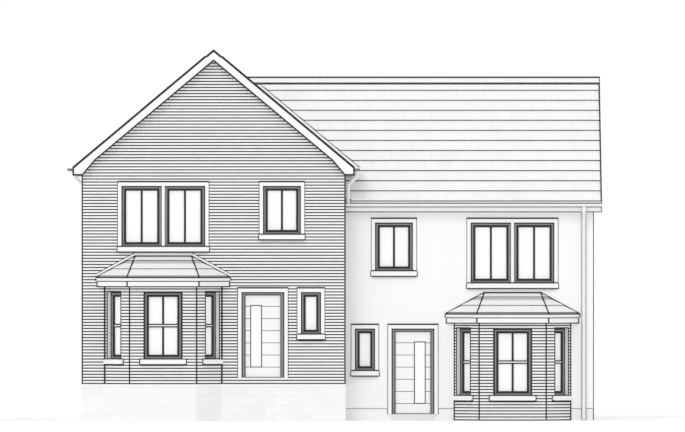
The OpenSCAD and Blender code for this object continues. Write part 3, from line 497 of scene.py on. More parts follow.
def masonry(shape, kind, at, outline, holes=(), shift=0.0):
    """Courses in stretcher bond: bed joint, pale row and the faces of its bricks or blocks."""
    course, bed, length, gap, (face_mark, row_mark, bed_mark) = kind[2:]
    us, vs = zip(*outline)
    left, right = min(us), max(us)
    for k in range(floor(min(vs) / course), ceil(max(vs) / course)):
        foot = k * course
        for polygon in pieces_of((left, foot, right, foot + bed), outline, holes):
            flat(shape, at, polygon, 0, BED_OUT, bed_mark)
        for polygon in pieces_of((left, foot + bed, right, foot + course), outline, holes):
            flat(shape, at, polygon, 0, ROW_OUT, row_mark)
        start = shift + (k % 2) * length / 2
        for i in range(floor((left - start) / length), ceil((right - start) / length)):
            u = start + i * length
            tone = any_tone()
            out = FACE_OUT + random.uniform(-FACE_SPREAD, FACE_SPREAD)
            rect = (max(u + gap / 2, left), foot + bed, min(u + length - gap / 2, right), foot + course)
            if rect[2] - rect[0] < SHORTEST:
                continue
            for polygon in pieces_of(rect, outline, holes):
                flat(shape, at, polygon, ROW_OUT - SUNK, out, face_mark, tone, FACE_EDGE)


def lay(name, kind, *walls):
    """One piece of masonry on walls, each (matrix, outline, holes, shift)."""
    shape = Shape(*kind[0])
    for wall in walls:
        masonry(shape, kind, *wall)
    shape.make(name, kind[1])


def hole(mid, w, foot, top, ear=0.0):
    x0, x1 = ends(mid, w, ear)
    return x0, foot, x1, top


def window_holes(windows):
    """Places of the surrounds and sills, with the joints round them."""
    for mid, w, foot, h, _, _ in windows:
        yield hole(mid, w, foot, foot + h + BAND_H + JOINT, BAND_W + JOINT)
        yield hole(mid, w, foot - SILL_H - JOINT, foot, SILL_EAR + JOINT)


def gable(inner, outer):
    return [(inner, -FLOOR_RISE), (outer, -FLOOR_RISE), (outer, LEFT_SHOULDER),
            (-LEFT_MID, LEFT_TOP), (inner, LEFT_SHOULDER)]


def bay_walls(left, foot, head, windows=True):
    """The three sides of a bay between two heights above its floor."""
    for side, (mid, w, sill, h, _, _) in BAY_WINDOWS.items():
        half = bay_half(side)
        sill_hole = hole(mid, w, sill - SILL_H - JOINT, sill + CLEAR, SILL_EAR + JOINT)
        holes = (hole(mid, w, sill, sill + h), sill_hole) if windows else ()
        yield bay_face(left, side) @ WALL, rectangle(-half, foot, half, head), holes


left_front, left_rear = face_at(True) @ WALL, face_at(True, True) @ WALL
flank = plane((-HOUSE_W, 0, 0), (0, -1, 0), (0, 0, 1))
return_face = plane((PARTY_HALF, 0, 0), (0, 1, 0), (0, 0, 1))
# Nothing is laid behind the bay and the middle of its roof
ROOF_HOLE_W, ROOF_HOLE_TOP = 1.2, 2.9
bay_hole = hole(BAY_AT, 2 * BAY_SIDE, -1, BAY_ROOF_Z)
front_holes = [
    *window_holes(FRONT), hole(DOOR_AT, DOOR_W, 0, HEAD + BAND_H + JOINT, BAND_W + JOINT),
    bay_hole, hole(BAY_AT, ROOF_HOLE_W, BAY_ROOF_Z, ROOF_HOLE_TOP),
]
lay("left_front_brickwork", BRICK, (left_front, gable(INNER_END, OUTER_END), front_holes))
lay("left_rear_brickwork", BRICK, (left_rear, gable(-PARTY_HALF, OUTER_END), list(window_holes(BACK))))
lay("left_flank_brickwork", BRICK,
    (flank, rectangle(-HALF_D, LEFT_GROUND, -LEFT_FRONT, LEFT_EAVE_Z), (), FLANK_SHIFT))

# The upper house's side shows in front of the lower house and in two triangles beside the lower roof
LEDGE_RISE = 0.14
LEDGE_TOP = RIGHT_APEX + LEDGE_RISE
LEDGE_RUN, LEDGE_Z = (LEDGE_TOP - LEFT_EAVE_Z) / TAN_R, LEDGE_TOP - HALF_D * TAN_R
lay("party_wall_brickwork", BRICK,
    (return_face, rectangle(LEFT_FRONT, LEFT_GROUND, -HALF_D, LEFT_EAVE_Z)),
    (return_face, [(-HALF_D, LEDGE_Z), (-LEDGE_RUN, LEFT_EAVE_Z), (-HALF_D, LEFT_EAVE_Z)]),
    (return_face, [(HALF_D, LEDGE_Z), (HALF_D, LEFT_EAVE_Z), (LEDGE_RUN, LEFT_EAVE_Z)]))

for hand in HANDS:
    lay(hand + "_bay_brickwork", BRICK, *bay_walls(hand == "left", -FLOOR_RISE, BAY_WALL_H))

base = -LEFT_FLOOR
lay("left_foundation_blocks", BLOCK,
    (left_front, rectangle(INNER_END, base, OUTER_END, -FLOOR_RISE), [bay_hole]),
    *bay_walls(True, base, -FLOOR_RISE, windows=False),
    (left_rear, rectangle(-PARTY_HALF, base, OUTER_END, -FLOOR_RISE)),
    (flank, rectangle(-HALF_D, 0, -LEFT_FRONT, LEFT_GROUND), (), FLANK_SHIFT),
    (return_face, rectangle(LEFT_FRONT, 0, -HALF_D, LEFT_GROUND)))


# Roofs

TILE_GAUGE, TILE_W, TILE_GAP, BUTT, TILE_HEAD, TILE_LIFT = 0.4354, 0.33, 0.0012, 0.028, 0.003, 0.0007
STRIP_T, BEDDING_T, ON_SLAB = 0.004, 0.008, 0.0002
CAP_W, CAP_H, CAP_L, CAP_GAP, CAP_STEP, CAP_EDGE = 0.036, 0.036, 1.2, 0.003, 0.002, 0.003
# Each slope is drawn from its lower edge, v = 0, and the ridge tiles cover its top
LIP_RUN = RIGHT_RUN + TILE_LIP
LEFT_LOW_Z, RIGHT_LOW_Z = LEFT_APEX - LEFT_RUN * TAN_L, RIGHT_APEX - LIP_RUN * TAN_R
LEFT_LENGTH, RIGHT_LENGTH = LEFT_RUN / COS_L, LIP_RUN / COS_R
LEFT_TOP_V, RIGHT_TOP_V = LEFT_LENGTH - RIDGE_WING, RIGHT_LENGTH - RIDGE_WING
OUTER_SLOPE = plane((LEFT_MID - LEFT_RUN, 0, LEFT_LOW_Z), (0, -1, 0), (COS_L, 0, SIN_L))
INNER_SLOPE = plane((LEFT_MID + LEFT_RUN, 0, LEFT_LOW_Z), (0, 1, 0), (-COS_L, 0, SIN_L))
FRONT_SLOPE = plane((0, -LIP_RUN, RIGHT_LOW_Z), (1, 0, 0), (0, COS_R, SIN_R))
REAR_SLOPE = plane((0, LIP_RUN, RIGHT_LOW_Z), (-1, 0, 0), (0, -COS_R, SIN_R)) @ MIRROR
# In the valleys a * u + b * v is the same all along, on the lower slopes and on the inner slope
LOW_FALL, INNER_FALL = SIN_R / TAN_L, SIN_L / TAN_R
LOW_VALLEY, INNER_VALLEY = LEFT_MID + (LEFT_APEX - RIGHT_LOW_Z) / TAN_L, (LEFT_LOW_Z - RIGHT_APEX) / TAN_R
# Tiles start clear of the lead, on bedding that runs a little under them
LEAD_CLEAR, BED_W, BED_UNDER = 0.012, 0.018, 0.002
TILES_FROM = VALLEY_W + LEAD_CLEAR
BED_FROM, BED_TO = TILES_FROM - BED_W, TILES_FROM + BED_UNDER


def tiling(shape, at, outlines, holes=(), feet=(), strips=(), width=TILE_W, butt=BUTT):
    """Courses of flat tiles in half bond, each thick at its lower edge, cut to the outlines; their edges
    take the near-black second finish, painted as the shade under each course.
    """
    us, vs = zip(*(p for o in outlines for p in o))
    feet = feet or [k * TILE_GAUGE for k in range(ceil(max(vs) / TILE_GAUGE))]
    heads = feet[1:] + [max(vs) + CLEAR]
    for k, (foot, head) in enumerate(zip(feet, heads)):
        shift = (k % 2) * width / 2
        for i in range(floor(min(us) / width) - 1, ceil(max(us) / width) + 1):
            u = i * width + shift
            rect = (u + TILE_GAP / 2, foot, u + width - TILE_GAP / 2, head)
            tone = any_tone()
            lift = random.uniform(-TILE_LIFT, TILE_LIFT)
            for polygon in (p for o in outlines for p in pieces_of(rect, o, holes, least=1e-4)):
                top = []
                for p, q in polygon:
                    wedge = butt - (butt - TILE_HEAD) * (q - foot) / (head - foot)
                    top.append((p, q, (STRIP_T if k in strips else wedge) + lift))
                bottom = [(p, q, ON_SLAB) for p, q in polygon]
                shape.sweep(at, [bottom, top], 1, 2 if k in strips else 0, tone)


left_tiles = Shape("tile", "edge_shade_and_dark_trim")
outer_part = rectangle(-LEFT_Y1 + CAP_W, 0, -LEFT_Y0 - CAP_W, LEFT_TOP_V)
inner_front = rectangle(LEFT_Y0 + CAP_W, 0, 0, LEFT_TOP_V)
inner_rear = rectangle(0, 0, LEFT_Y1 - CAP_W, LEFT_TOP_V)
inner_parts = (between(inner_front, (1, -INNER_FALL, INNER_VALLEY - TILES_FROM)),
               between(inner_rear, (-1, -INNER_FALL, INNER_VALLEY - TILES_FROM)))
for at, parts in ((OUTER_SLOPE, (outer_part,)), (INNER_SLOPE, inner_parts)):
    tiling(left_tiles, at, parts)
left_tiles.make("left_roof_tiles", "roof_tiles")

# Lower tiles stay clear of the valley above the upper eaves, and of upper gutter and wall below them
SLOPE_V, BOARD_V = (LEFT_LOW_Z - RIGHT_LOW_Z) / SIN_R, (LEFT_EAVE_Z - RIGHT_LOW_Z) / SIN_R
FROM_BOARD, FROM_WALL, NOTCH_W, NOTCH_UP = 0.012, 0.006, 0.14, 0.004
RIGHT_END = RIGHT_X1 - CAP_W
beside_valley = rectangle(LEFT_MID - LEFT_HALF, SLOPE_V, RIGHT_END, RIGHT_TOP_V)
right_parts = (
    between(beside_valley, (-1, -LOW_FALL, -LOW_VALLEY - TILES_FROM)),
    rectangle(LEFT_MID + LEFT_RUN + FROM_BOARD, BOARD_V, RIGHT_END, SLOPE_V),
    rectangle(PARTY_HALF + FROM_WALL, 0, RIGHT_END, BOARD_V),
)
pipe_notch = (0, -1, PARTY_HALF + NOTCH_W, TILE_LIP / COS_R + NOTCH_UP)
right_tiles = Shape("tile", "edge_shade_and_dark_trim")
for at, holes in ((FRONT_SLOPE, [pipe_notch]), (REAR_SLOPE, ())):
    tiling(right_tiles, at, right_parts, holes)
right_tiles.make("right_roof_tiles", "roof_tiles")

# Bedding between the valley lead and the tiles
bedding = Shape("bedding")
low_strip = between(beside_valley, (-1, -LOW_FALL, -LOW_VALLEY - BED_FROM),
                    (1, LOW_FALL, LOW_VALLEY + BED_TO))
inner_strip = between(inner_front, (1, -INNER_FALL, INNER_VALLEY - BED_FROM),
                      (-1, INNER_FALL, BED_TO - INNER_VALLEY))
for strip, at in ((low_strip, FRONT_SLOPE), (low_strip, REAR_SLOPE), (inner_strip, INNER_SLOPE),
                  (inner_strip, BEHIND @ INNER_SLOPE)):
    flat(bedding, at, strip, ON_SLAB, BEDDING_T)
bedding.make("valley_bedding", "roof_tiles")

# Caps over the bargeboards, every second one a little lower
caps = Shape("edge_shade_and_dark_trim")
for at, verges, top in ((OUTER_SLOPE, (-LEFT_Y1, -LEFT_Y0 - CAP_W), LEFT_TOP_V),
                        (INNER_SLOPE, (LEFT_Y0, LEFT_Y1 - CAP_W), LEFT_TOP_V),
                        (FRONT_SLOPE, (RIGHT_END,), RIGHT_TOP_V), (REAR_SLOPE, (RIGHT_END,), RIGHT_TOP_V)):
    for verge in verges:
        n = max(1, round(top / CAP_L))
        for i in range(n):
            place = rectangle(verge, i * top / n, verge + CAP_W, (i + 1) * top / n - CAP_GAP)
            flat(caps, at, place, ON_SLAB, CAP_H - CAP_STEP * (i % 2), edge=CAP_EDGE)
caps.make("verge_caps", "roof_tiles")


def barge_lines(apex, pitch, run, half, foot):
    """Lines of a gable's boards: lower edge from the left, both feet, top from the right."""
    fall = tan(pitch)
    under, eave = apex - BARGE_D / cos(pitch), apex - run * fall
    toe = half - BARGE_COVER
    kink = toe - BARGE_CRANK
    low = [(-toe, foot), (-kink, under - kink * fall), (0, under), (kink, under - kink * fall), (toe, foot)]
    feet = [[(run, eave), (run, foot), (toe, foot)], [(-toe, foot), (-run, foot), (-run, eave)]]
    return low, feet, [(run, eave), (0, apex), (-run, eave)]


# Dark trim along the bargeboards' edges and round their feet, wide on the face, and thin dark strips below
# the boards that paint the shade under them
trim_and_shade = Shape("gasket")
TOP_LINE, RIDGE_LINE, LOW_LINE, FOOT_LINE, UNDER_LINE = 0.02, 0.036, 0.038, 0.028, 0.014
SHADE_BACK, OVERLAY, OVERLAY_IN = 0.016, -PROUD - SUNK, 0.0004
low, feet, top = barge_lines(LEFT_APEX, LEFT_PITCH, LEFT_RUN, LEFT_HALF, LEFT_EAVE_Z)
reach, ridge_foot = RIDGE_WING * COS_L, LEFT_APEX - RIDGE_WING * COS_L * TAN_L
ridge_line = [(reach, ridge_foot), (0, LEFT_APEX), (-reach, ridge_foot)]
for y, facing in ((LEFT_Y0, WORLD), (LEFT_Y1, BEHIND)):
    at = move(LEFT_MID, y) @ facing
    trim_and_shade.ribbon(at, low, LOW_LINE, -PROUD, SUNK)
    trim_and_shade.ribbon(at, top, TOP_LINE, -PROUD, SUNK)
    trim_and_shade.ribbon(at, ridge_line, RIDGE_LINE, OVERLAY, OVERLAY_IN)
    for line in feet:
        trim_and_shade.ribbon(at, line, UNDER_LINE, SUNK, SHADE_BACK)
        trim_and_shade.ribbon(at, line[::-1], FOOT_LINE, OVERLAY, OVERLAY_IN)
# Thin dark strips under the right gable's board paint the shade below it
at = move(RIGHT_X1, 0) @ spin(90)
low, feet, _ = barge_lines(RIGHT_APEX, RIGHT_PITCH, RIGHT_RUN, HALF_D, RIGHT_EAVE_Z)
for line in (low[::-1], *feet):
    trim_and_shade.ribbon(at, line, UNDER_LINE, SUNK, SHADE_BACK)
# Lower house's eaves: dark strips painted as the shade under the tiles, under the gutter and under the board
GUTTER_FOOT, EAVES_HALF = RIGHT_RIM - GUTTER_R, 0.002
for at in (WORLD, BEHIND):
    for run, z, low, high in ((LIP_RUN, RIGHT_RIM, 0.003, 0.022), (RIGHT_RUN, GUTTER_FOOT, -0.018, 0.002),
                              (RIGHT_RUN, RIGHT_EAVE_Z, -0.014, 0.008)):
        trim_and_shade.box(at, (PARTY_HALF + FROM_WALL, -run - EAVES_HALF, z + low),
                  (RIGHT_X1, -run + EAVES_HALF, z + high))
trim_and_shade.make("eaves_trim_and_shade", "white_boards")

# Ridge tiles with bedded joints
RIDGE_L, RIDGE_GAP, RIDGE_END, POINTING, RIDGE_IN = 0.45, 0.002, 0.022, 0.05, 0.03
CREST_W, CREST_H, CREST_SUNK, CREST_IN = 0.03, 0.028, 0.014, 0.02
# Low and high side of a stretch on the slope, how far it stands out below the tiles, and whether it is dark
AT_END, BED, TILES = (0.0004, RIDGE_T, 0.002, True), (0.0003, 0.013, 0.02, True), (0.0006, RIDGE_T, 0, False)
POINTED = (RIDGE_T - DEEP, RIDGE_T + PROUD, 0.001, True)
ridges = Shape("ridge", "bedding")


def ridge_wing(at, u0, u1, length, pitch, ends_at, limit=None):
    """One side of a run of ridge tiles, mitred at the ridge, on a slope whose top is at v = length."""
    rise = tan(pitch)
    foot = length - RIDGE_WING
    stretches = []
    for u in ends_at:
        a, b = sorted((u, u + copysign(RIDGE_END, (u0 + u1) / 2 - u)))
        stretches.append((a, b, *AT_END))
    u0 += RIDGE_END * (u0 in ends_at)
    u1 -= RIDGE_END * (u1 in ends_at)
    n = max(1, round((u1 - u0) / RIDGE_L))
    step = (u1 - u0) / n
    stretches.append((u0, u1, *BED))
    for i in range(n):
        a = u0 + i * step + RIDGE_GAP / 2 * (i > 0)
        b = u0 + (i + 1) * step - RIDGE_GAP / 2 * (i < n - 1)
        stretches.append((a, b, *TILES))
    stretches.append((u0, u1, *POINTED))
    for a, b, low, high, out, dark in stretches:
        rings = []
        for h in (low, high):
            top = foot + POINTING if high > RIDGE_T else length + h * rise
            ring = rectangle(a, foot - out, b, top)
            if limit:
                ring = cut(ring, limit[0], limit[1], limit[2] - h * limit[3])
            rings.append([(u, v, h) for u, v in ring])
        if len(rings[0]) == len(rings[1]) > 2:
            ridges.sweep(at, rings, int(dark), int(dark), random.random())


ridge_wing(OUTER_SLOPE, -LEFT_Y1, -LEFT_Y0, LEFT_LENGTH, LEFT_PITCH, (-LEFT_Y1, -LEFT_Y0))
ridge_wing(INNER_SLOPE, LEFT_Y0, LEFT_Y1, LEFT_LENGTH, LEFT_PITCH, (LEFT_Y0, LEFT_Y1))
ridge_x = LEFT_MID + (LEFT_APEX - RIGHT_APEX) / TAN_L - RIDGE_IN
for at in (FRONT_SLOPE, REAR_SLOPE):
    ridge_wing(at, ridge_x, RIGHT_X1, RIGHT_LENGTH, RIGHT_PITCH, (RIGHT_X1,),
               (-1, -LOW_FALL, -LOW_VALLEY, -COS_R / TAN_L))
crest_z = RIGHT_APEX + RIDGE_T / COS_R
crest_x = LEFT_MID + (LEFT_APEX - crest_z - CREST_H) / TAN_L + CREST_IN
ridges.box(WORLD, (crest_x, -CREST_W / 2, crest_z - CREST_SUNK),
           (RIGHT_X1, CREST_W / 2, crest_z + CREST_H), 1)
ridges.make("ridge_tile_runs", "ridge", "ridge_tiles")

# Lead saddle where the lower ridge meets the upper roof
SADDLE_T, SADDLE = 0.003, ((-0.42, -0.26), (0.42, -0.26), (0.42, -0.12), (0, 0.2), (-0.42, -0.12))
saddle = Shape("lead")
meet_v = (RIGHT_APEX - LEFT_LOW_Z) / SIN_L
flat(saddle, INNER_SLOPE, [(u, meet_v + v) for u, v in SADDLE], ON_SLAB, SADDLE_T)
saddle.make("ridge_saddle", "lead")


# Bay roofs

BAY_TILE_W, BAY_BUTT, BAY_FILLER, FILLER_UP, FILLER_IN, TOP_CLEAR = 0.3, 0.022, 0.02, 0.03, 0.0006, 0.004
# Feet of the courses up the slope, and which of them are narrow grey strips
BAY_FEET, BAY_STRIPS = (0.02, 0.083, 0.39, 0.634, 0.754), (0, 3)
HIP_HALF, HIP_UP, HIP_SUNK, HIP_SHOULDER, HIP_TAPER = 0.017, 0.03, 0.01, 0.7, 0.9
HIP_PIECES, HIP_FROM, HIP_SPAN, HIP_GAP = 3, 0.03, 0.965, 0.004
TILE_SHADOW, BOARD_SHADOW, BOARD_LAP, SHADOW_OUT = 0.022, 0.014, 0.012, 0.002
MITRE_HALF, MITRE_OUT, MITRE_IN, END_BEFORE, END_PAST, END_T = 0.018, 0.0025, 0.012, 0.01, 0.016, 0.012
ROOF_LINE, FLASH_LINE, FLASH_OUT = 0.034, 0.016, 0.006


def bay_plan(grow):
    """Corner and end of the bay's outline, grown square to its sides, as (x, y)."""
    return ((BAY_FRONT + grow * tan(radians(22.5)), -BAY_OUT - grow),
            (BAY_SIDE + grow * sqrt(2), 0))


hip_foot, wall_end = (Vector((*p, BAY_ROOF_Z + BAY_EDGE)) for p in bay_plan(BAY_GROW))
hip_top = Vector((BAY_TOP, 0, BAY_ROOF_Z + BAY_EDGE + BAY_RISE))
hip_line = hip_top - hip_foot


def bay_strip(shape, at, z0, z1):
    """Thin dark strip round the face of the bay's eaves board, painted as a line of shadow."""
    lines = []
    for grow in (BAY_EAVES + SHADOW_OUT, BAY_EAVES - DEEP):
        corner, end = bay_plan(grow)
        lines.append([(-end[0], end[1]), (-corner[0], corner[1]), corner, end])
    shape.sweep(at, [[(*p, z0), (*q, z0), (*q, z1), (*p, z1)] for p, q in zip(*lines)])


def bay_slopes(home):
    """The three slopes of a bay's roof as (matrix, outline, way up)."""
    front_up = Vector((0, -hip_foot.y, BAY_RISE))
    front = home @ plane((0, hip_foot.y, hip_foot.z), (1, 0, 0), front_up)
    trapezoid = [(-hip_foot.x, 0), (hip_foot.x, 0), (BAY_TOP, front_up.length), (-BAY_TOP, front_up.length)]
    side_u = (wall_end - hip_foot).normalized()
    side_up = hip_line - side_u * hip_line.dot(side_u)
    side = home @ plane(hip_foot, side_u, side_up)
    triangle = [(0, 0), ((wall_end - hip_foot).length, 0), (hip_line.dot(side_u), side_up.length)]
    return ((front, trapezoid, front_up), (side, triangle, side_up),
            (home @ MIRROR @ home.inverted() @ side, triangle, side_up))


def hip_tiles(shape, at):
    """Dark angled tiles, bedded along a hip, each tapering to its upper end."""
    across = Vector((hip_line.y, -hip_line.x, 0)).normalized()
    up = across.cross(hip_line).normalized()
    length = HIP_SPAN / HIP_PIECES
    for i in range(HIP_PIECES):
        rings = []
        foot = HIP_FROM + length * i
        for t, swell in ((foot, 1.0), (foot + length - HIP_GAP, HIP_TAPER)):
            p = hip_foot + hip_line * t
            side, top, low = across * HIP_HALF * swell, up * HIP_UP * swell, up * HIP_SUNK
            a, b, shoulder = p - side, p + side, top * HIP_SHOULDER
            rings.append([a - low, a + shoulder, p + top, b + shoulder, b - low])
        shape.sweep(at, rings, 1, 1, random.random())


def bay_roof_tiles(hand, home):
    """Courses at the same heights on all three slopes, over a dark filler with an upright front."""
    tiles = Shape("tile", "edge_shade_and_dark_trim", "strip")
    slopes = bay_slopes(home)
    for at, outline, way in slopes:
        top = max(v for _, v in outline)
        scale = top / slopes[0][2].length
        steep = way.z / way.xy.length
        rings = []
        for foot, h in ((FILLER_IN, ON_SLAB), (FILLER_IN + BAY_FILLER * steep, BAY_FILLER)):
            rings.append([(u, v, h) for u, v in between(outline, (0, -1, -foot), (0, 1, FILLER_UP))])
        tiles.sweep(at, rings, 1, 1)
        tiled = between(outline, (0, -1, -BAY_FEET[0] * scale), (0, 1, top - TOP_CLEAR))
        tiling(tiles, at, [tiled], (), [v * scale for v in BAY_FEET], BAY_STRIPS, BAY_TILE_W, BAY_BUTT)
    for at in (home, home @ MIRROR):
        hip_tiles(tiles, at)
    tiles.make(hand + "_bay_roof_tiles", "roof_tiles")


def bay_roof_joints_and_shadows(hand, home):
    """Painted shadow strips under the tiles and under the eaves board, and a dark joint at each of its
    mitres and ends, and along the wall.
    """
    joints = Shape("gasket")
    # Painted shadow under the tiles and under the eaves board
    bay_strip(joints, home, BAY_ROOF_Z - TILE_SHADOW, BAY_ROOF_Z)
    bay_strip(joints, home, BAY_WALL_H - BOARD_SHADOW, BAY_WALL_H + BOARD_LAP)
    corner, end = bay_plan(BAY_EAVES)
    foot, top = wall_end.x, hip_foot.z
    for side in (-1, 1):
        x = side * corner[0]
        joints.box(home, (x - MITRE_HALF, corner[1] - MITRE_OUT, BAY_WALL_H),
                   (x + MITRE_HALF, corner[1] + MITRE_IN, BAY_ROOF_Z))
        for ledge, z0, z1 in ((end[0], BAY_WALL_H - BOARD_SHADOW, BAY_ROOF_Z), (foot, BAY_ROOF_Z, top)):
            low, high = sorted((side * (ledge - END_BEFORE), side * (ledge + END_PAST)))
            joints.box(home, (low, -END_T, z0), (high, DEEP, z1))
    roof_line = [(-foot, top), (-BAY_TOP, top + BAY_RISE), (BAY_TOP, top + BAY_RISE), (foot, top)]
    joints.ribbon(home, roof_line, ROOF_LINE, -LEAD_T - PROUD, DEEP)
    if hand == "left":
        joints.ribbon(home, [(x, z + FLASH_H) for x, z in roof_line], FLASH_LINE, -FLASH_OUT, DEEP)
    joints.make(hand + "_bay_roof_joints_and_shadows", "roof_tiles")


for hand in HANDS:
    home = face_at(hand == "left") @ move(BAY_AT, 0)
    bay_roof_tiles(hand, home)
    bay_roof_joints_and_shadows(hand, home)


# Windows

# Widths of the seals at outer edges, at posts, beside transoms and on the room side
SEAL, POST_SEAL, TRANSOM_SEAL, TRANSOM_LAP, BACK_SEAL, BACK_SEAL_T = 0.03, 0.004, 0.02, 0.01, 0.006, 0.004
BAR_FOOT, BAR_FACE, BAR_FRONT, BAR_BACK, LIP = 0.026, 0.023, 0.017, 0.01, 0.002
# Joints on the wall, which are wider at the bays, and a dark drip under each sill that paints the sill's
# shadow
EDGE_LINE, SILL_BED, SILL_SHADE_DRIP, SHADE_DRIP_END, SHADE_DRIP_FRONT = 0.022, 0.03, 0.03, 0.02, 0.054
BAY_SILL_LINE, BAY_SILL_SHADE_DRIP, SILL_END = 0.028, 0.016, 0.026
BAY_JOINT, BAY_END, BAY_CORNER = 0.032, 0.012, 0.018
ON_BRICK, ON_RENDER, WALL_JOINT = 0.0055, 0.003, {"left": 0.034, "right": 0.02}


def casements(win):
    mid, w, _, _, n, _ = win
    one = (w - (n - 1) * POST_W) / n
    return [(mid + (i - (n - 1) / 2) * (one + POST_W), one) for i in range(n)]


def grown(x0, z0, x1, z1, d):
    return (x0 - d, z0 - d, x1 + d, z1 + d)


def transom_gaskets(bars, at, x0, z0, x1, z1):
    """Gaskets of a transom; returns the lower and upper ends of the panes."""
    low, high = ends(TRANSOM_AT, TRANSOM_H)
    for foot, head in ((low - TRANSOM_LAP, low + TRANSOM_SEAL), (high - TRANSOM_SEAL, high + TRANSOM_LAP)):
        bars.box(at, (x0, SASH_Y - LIP, foot), (x1, GLASS_Y, head), 1)
    bars.box(at, (x0, SASH_Y - LIP - SUNK, low + TRANSOM_SEAL),
             (x1, SASH_Y + DEEP, high - TRANSOM_SEAL), 2)
    return [(z0, low), (high, z1)]


def dress_window(bars, at, win, transom=False):
    """Black sash and seals on a grey frame, with the gaskets and glazing bars of each pane."""
    whole, w_all, foot, h, _, bar = win
    first, last = ends(whole, w_all)
    head, back = foot + h, GLASS_Y + GLASS_T
    for mid, w in casements(win):
        x0, x1 = ends(mid, w)
        opening = grown(x0, foot, x1, head, -FRAME_EDGE)
        left_seal = SEAL if x0 < first + SAME else POST_SEAL
        right_seal = SEAL if x1 > last - SAME else POST_SEAL
        inside = (x0 + left_seal, foot + SEAL, x1 - right_seal, head - SEAL)
        for a, c, b, d in around((x0, foot, x1, head), [inside]):
            bars.box(at, (a, REVEAL - PROUD, c), (b, REVEAL + SUNK, d), 1)
        bars.rim(at, grown(x0, foot, x1, head, -SASH_EDGE), grown(*opening, -LIP), SASH_Y - LIP, GLASS_Y)
        bars.rim(at, grown(*opening, DEEP), grown(*opening, -BACK_SEAL), back, back + BACK_SEAL_T)
        panes = transom_gaskets(bars, at, *opening) if transom else [opening[1::2]]
        for glass, face in ((GLASS_Y, GLASS_Y - BAR_FRONT), (back, back + BAR_BACK)) if bar else ():
            ring = [(mid - BAR_FOOT, glass), (mid - BAR_FACE, face),
                    (mid + BAR_FACE, face), (mid + BAR_FOOT, glass)]
            if face > glass:
                ring.reverse()
            for z0, z1 in panes:
                bars.sweep(at, [[(x, y, z) for x, y in ring] for z in (z0 + CLEAR, z1 - CLEAR)], 1, 1)


def wall_joints_and_sill_shade(joints, at, out, mid, w, foot, h, sill=True):
    """Joint round a surround, strip on the edge of its head, and bed, joint and dark drip of the sill, the
    drip painting the sill's shadow below it.
    """
    x0, x1 = ends(mid, w, BAND_W)
    top, low = foot + h + BAND_H, foot - SILL_H
    joints.arch(at, x0, x1, foot, top, JOINT, -out, 0)
    joints.box(at, (x0, -BAND_OUT - PROUD, top - EDGE_LINE), (x1, DEEP, top + LIP))
    if sill:
        joints.box(at, (x0, -BAND_OUT - PROUD, foot - LIP), (x1, REVEAL - LIP, foot + SILL_BED))
        x0, x1 = ends(mid, w, SILL_EAR)
        joints.ribbon(at, [(x1, foot), (x1, low), (x0, low), (x0, foot)], EDGE_LINE, -out, 0)
        # Dark drip under the sill, painting the sill's shadow
        joints.box(at, (x0 + SHADE_DRIP_END, -SHADE_DRIP_FRONT, low - SILL_SHADE_DRIP), (x1 - SHADE_DRIP_END, -LIP, low + DEEP))


def bay_side_joints_and_sill_shade(joints, left, side):
    """Joints round a bay window, round its sill as far as the wall goes, and at the side's corners, with a
    dark drip under the sill that paints its shadow.
    """
    at = bay_face(left, side)
    mid, w, sill, h, _, _ = BAY_WINDOWS[side]
    x0, x1 = ends(mid, w)
    joints.arch(at, x0, x1, sill, sill + h, BAY_JOINT if side else JOINT, -ON_BRICK, ON_RENDER)
    sill_ends, low, half = ends(mid, w, SILL_EAR), sill - SILL_H, bay_half(side)
    reach = half - BAY_END
    x0, x1 = max(-reach, sill_ends[0]), min(reach, sill_ends[1])
    for z0, z1 in ((low - EDGE_LINE, low), (sill - DEEP, sill + BAY_SILL_LINE)):
        joints.box(at, (x0, -ON_BRICK, z0), (x1, DEEP, z1))
    # Dark drip under the sill, painting the sill's shadow
    joints.box(at, (x0 + SHADE_DRIP_END, -SHADE_DRIP_FRONT, low - BAY_SILL_SHADE_DRIP), (x1 - SHADE_DRIP_END, -2 * LIP, low + DEEP))
    for end, outward in zip(sill_ends, (-1, 1)):
        if abs(end) < reach:
            a, b = sorted((end, end + outward * SILL_END))
            joints.box(at, (a, -ON_BRICK - OVER, low - EDGE_LINE), (b, DEEP, sill + BAY_SILL_LINE))
    for x0, x1 in ((-half - LIP, -half + BAY_CORNER), (half - BAY_CORNER, half + LIP)):
        joints.box(at, (x0, -ON_BRICK, -FLOOR_RISE), (x1, DEEP, BAY_WALL_H - BAY_END))


for hand in HANDS:
    left = hand == "left"
    bars, joints = Shape("frame", "gasket", "board"), Shape("mastic")
    out = ON_BRICK if left else ON_RENDER
    for windows in (FRONT, BACK):
        at = face_at(left, windows is BACK)
        for win in windows:
            dress_window(bars, at, win)
            wall_joints_and_sill_shade(joints, at, out, *win[:4])
    wall_joints_and_sill_shade(joints, face_at(left), out, DOOR_AT, DOOR_W, 0, HEAD, sill=False)
    for side, win in BAY_WINDOWS.items():
        dress_window(bars, bay_face(left, side) @ move(0, BAY_REVEAL - REVEAL), win, transom=True)
        bay_side_joints_and_sill_shade(joints, left, side)
    at = face_at(left) @ move(BAY_AT, 0)
    for side in (-1, 1):
        x0, x1 = sorted((side * BAY_SIDE, side * (BAY_SIDE + WALL_JOINT[hand])))
        joints.box(at, (x0, -ON_BRICK - OVER, -FLOOR_RISE), (x1, DEEP, BAY_WALL_H))
    bars.make(hand + "_glazing_bars", "window_frames")
    joints.make(hand + "_joint_lines_and_sill_shade", "window_frames")

